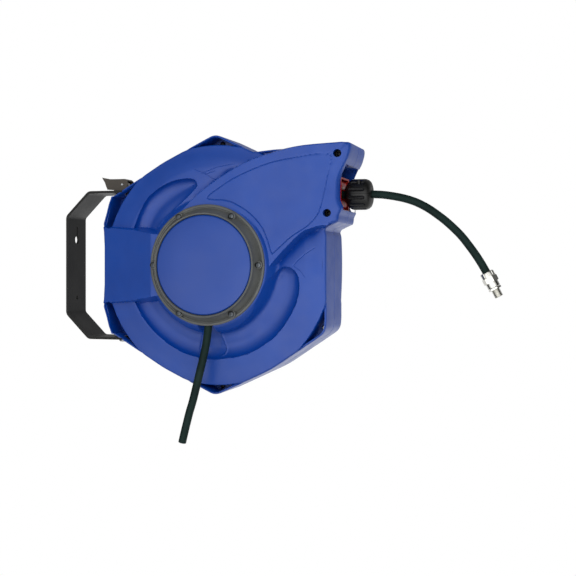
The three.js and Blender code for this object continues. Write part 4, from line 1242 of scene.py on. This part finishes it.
body_piece = place(body, "fitting_body_threaded", "housing", nickel, "nickel", "fitting_body")

# %% [markdown]
# ## Rear cap and the inner works
#
# A grey cap covers the axle nut at the back. Everything inside the shells keeps its CAD shape and
# gets its real material by the record's slot: the slots name what each solid is made of.

# %% Cap, and materials for the CAD parts that stay
cap = turned([
    (34, 66.3), (37.4, 66.3), (38, 67), (36.6, 79), (35.6, 82), (33.6, 84.4), (30.6, 85.8), (27, 86), (0, 86),
    (0, 83), (29, 83), (33, 80),
], 128)
place(cap, "rear_cap_moulding", "housing", ring_nylon, "ring_grey", "rear_cap")
SLOT_FINISH = {
    "steel": zinc, "brass": brass, "nylon": bush_nylon, "hose": hose_polyurethane,
    "plastic_black": drum_nylon, "ring_grey": ring_nylon, "guide_red": guide_acetal, "nickel": nickel,
    "housing_blue": shell_abs,
    "disc_blue": disc_abs, "bracket_black": bracket_coat, "handle_taupe": handle_coat,
}
for subpart in frame["record"]["subparts"]:
    node, slot = subpart["node"], subpart["material_slot"]
    finish = spring_steel if node in ("mainspring", "pawl_spring") else SLOT_FINISH[slot]
    for material_slot in frame["nodes"][node].material_slots:
        material_slot.material = finish

# %% [markdown]
# ## The hoses' ends
#
# The outlet hose runs from the stop to its fitting, and all of that length is in sight. The inlet
# hose starts at its elbow, under the cover ring, and ends in a square cut. Both are stiff hose, drawn as they
# hang.

# %% [markdown]
# ## Studio
#
# Plain soft light: one large box beside the camera models the relief, and the room itself glows. It is
# white where the camera sees it, even and greyer where it lights the reel, and only its front and its
# low back are bright in reflections, so the dark parts keep their contrast. The floor is pale and far
# below, because the reel hangs on a wall.

# %% Light, room and floor
scene.view_settings.view_transform = "Standard"
world = bpy.data.worlds.new("studio")
scene.world = world
world.use_nodes = True
room = world.node_tree
room.nodes.clear()
white = linear("#FFFFFF")
ray = add_node(room, "LightPath")
direction = add_node(room, "TexCoord")
aim = {0: (direction, "Generated")}
facing = add_node(room, "VectorMath", {1: (0.2, -0.9, -0.38)}, aim, operation="DOT_PRODUCT")
parts = add_node(room, "SeparateXYZ", links={"Vector": (direction, "Generated")})
glows = []
for source, start, end, low, high in (
    ((facing, "Value"), 0.22, 1.0, 0.0, 2.75),
    ((parts, "Y"), 0.1, 0.8, 0.0, 0.42),
    ((parts, "Z"), 0.0, -0.35, 1.0, 3.2),
):
    span = {"From Min": start, "From Max": end, "To Min": low, "To Max": high}
    glows.append((add_node(room, "MapRange", span, {"Value": source}), "Result"))
front_glow, back_glow, low_glow = glows
behind = add_node(room, "Math", links={0: back_glow, 1: low_glow}, operation="MULTIPLY")
glow = add_node(room, "Math", links={0: front_glow, 1: (behind, "Value")}, operation="ADD")
reflected = add_node(room, "Background", {"Color": white}, {"Strength": (glow, "Value")})
even = add_node(room, "Background", {"Color": white, "Strength": 0.74})
seen = add_node(room, "Background", {"Color": white, "Strength": 1.0})
rays = {0: (ray, "Is Glossy Ray"), 1: (even, "Background"), 2: (reflected, "Background")}
lit = add_node(room, "MixShader", links=rays)
views = {0: (ray, "Is Camera Ray"), 1: (lit, "Shader"), 2: (seen, "Background")}
shown = add_node(room, "MixShader", links=views)
add_node(room, "OutputWorld", links={"Surface": (shown, "Shader")})


def softbox(name, at, size, power):
    """A square area light that faces the reel."""
    lamp = bpy.data.lights.new(name, "AREA")
    lamp.shape = "SQUARE"
    lamp.size = size
    lamp.energy = power
    box = bpy.data.objects.new(name, lamp)
    box.location = at
    box.rotation_euler = (AXIS - Vector(at)).to_track_quat("-Z", "Y").to_euler()
    box.visible_camera = False
    box.visible_glossy = False
    scene.collection.objects.link(box)


softbox("front_box", (1.3, -2.3, 1.1), 1.3, 16)
FLOOR_Z = -1.3
floor_bm = bmesh.new()
bmesh.ops.create_grid(floor_bm, x_segments=1, y_segments=1, size=1.5)
bmesh.ops.translate(floor_bm, verts=floor_bm.verts, vec=(AXIS.x, 0, FLOOR_Z))
floor_mesh = bpy.data.meshes.new("floor")
floor_bm.to_mesh(floor_mesh)
floor_bm.free()
floor = bpy.data.objects.new("floor", floor_mesh)
scene.collection.objects.link(floor)
floor_finish, floor_tree, floor_shader, floor_place = start_material("pale_floor_paint")
floor_scale = {"Scale": per_metre(400)}
floor_clouds = add_node(floor_tree, "TexNoise", floor_scale, {"Vector": (floor_place, "Object")})
floor_tone = two_tones(floor_tree, (floor_clouds, "Fac"), "#E9E9E7", "#F1F1EF")
floor_tree.links.new(floor_tone.outputs["Color"], floor_shader.inputs["Base Color"])
floor_mesh.materials.append(floor_finish)
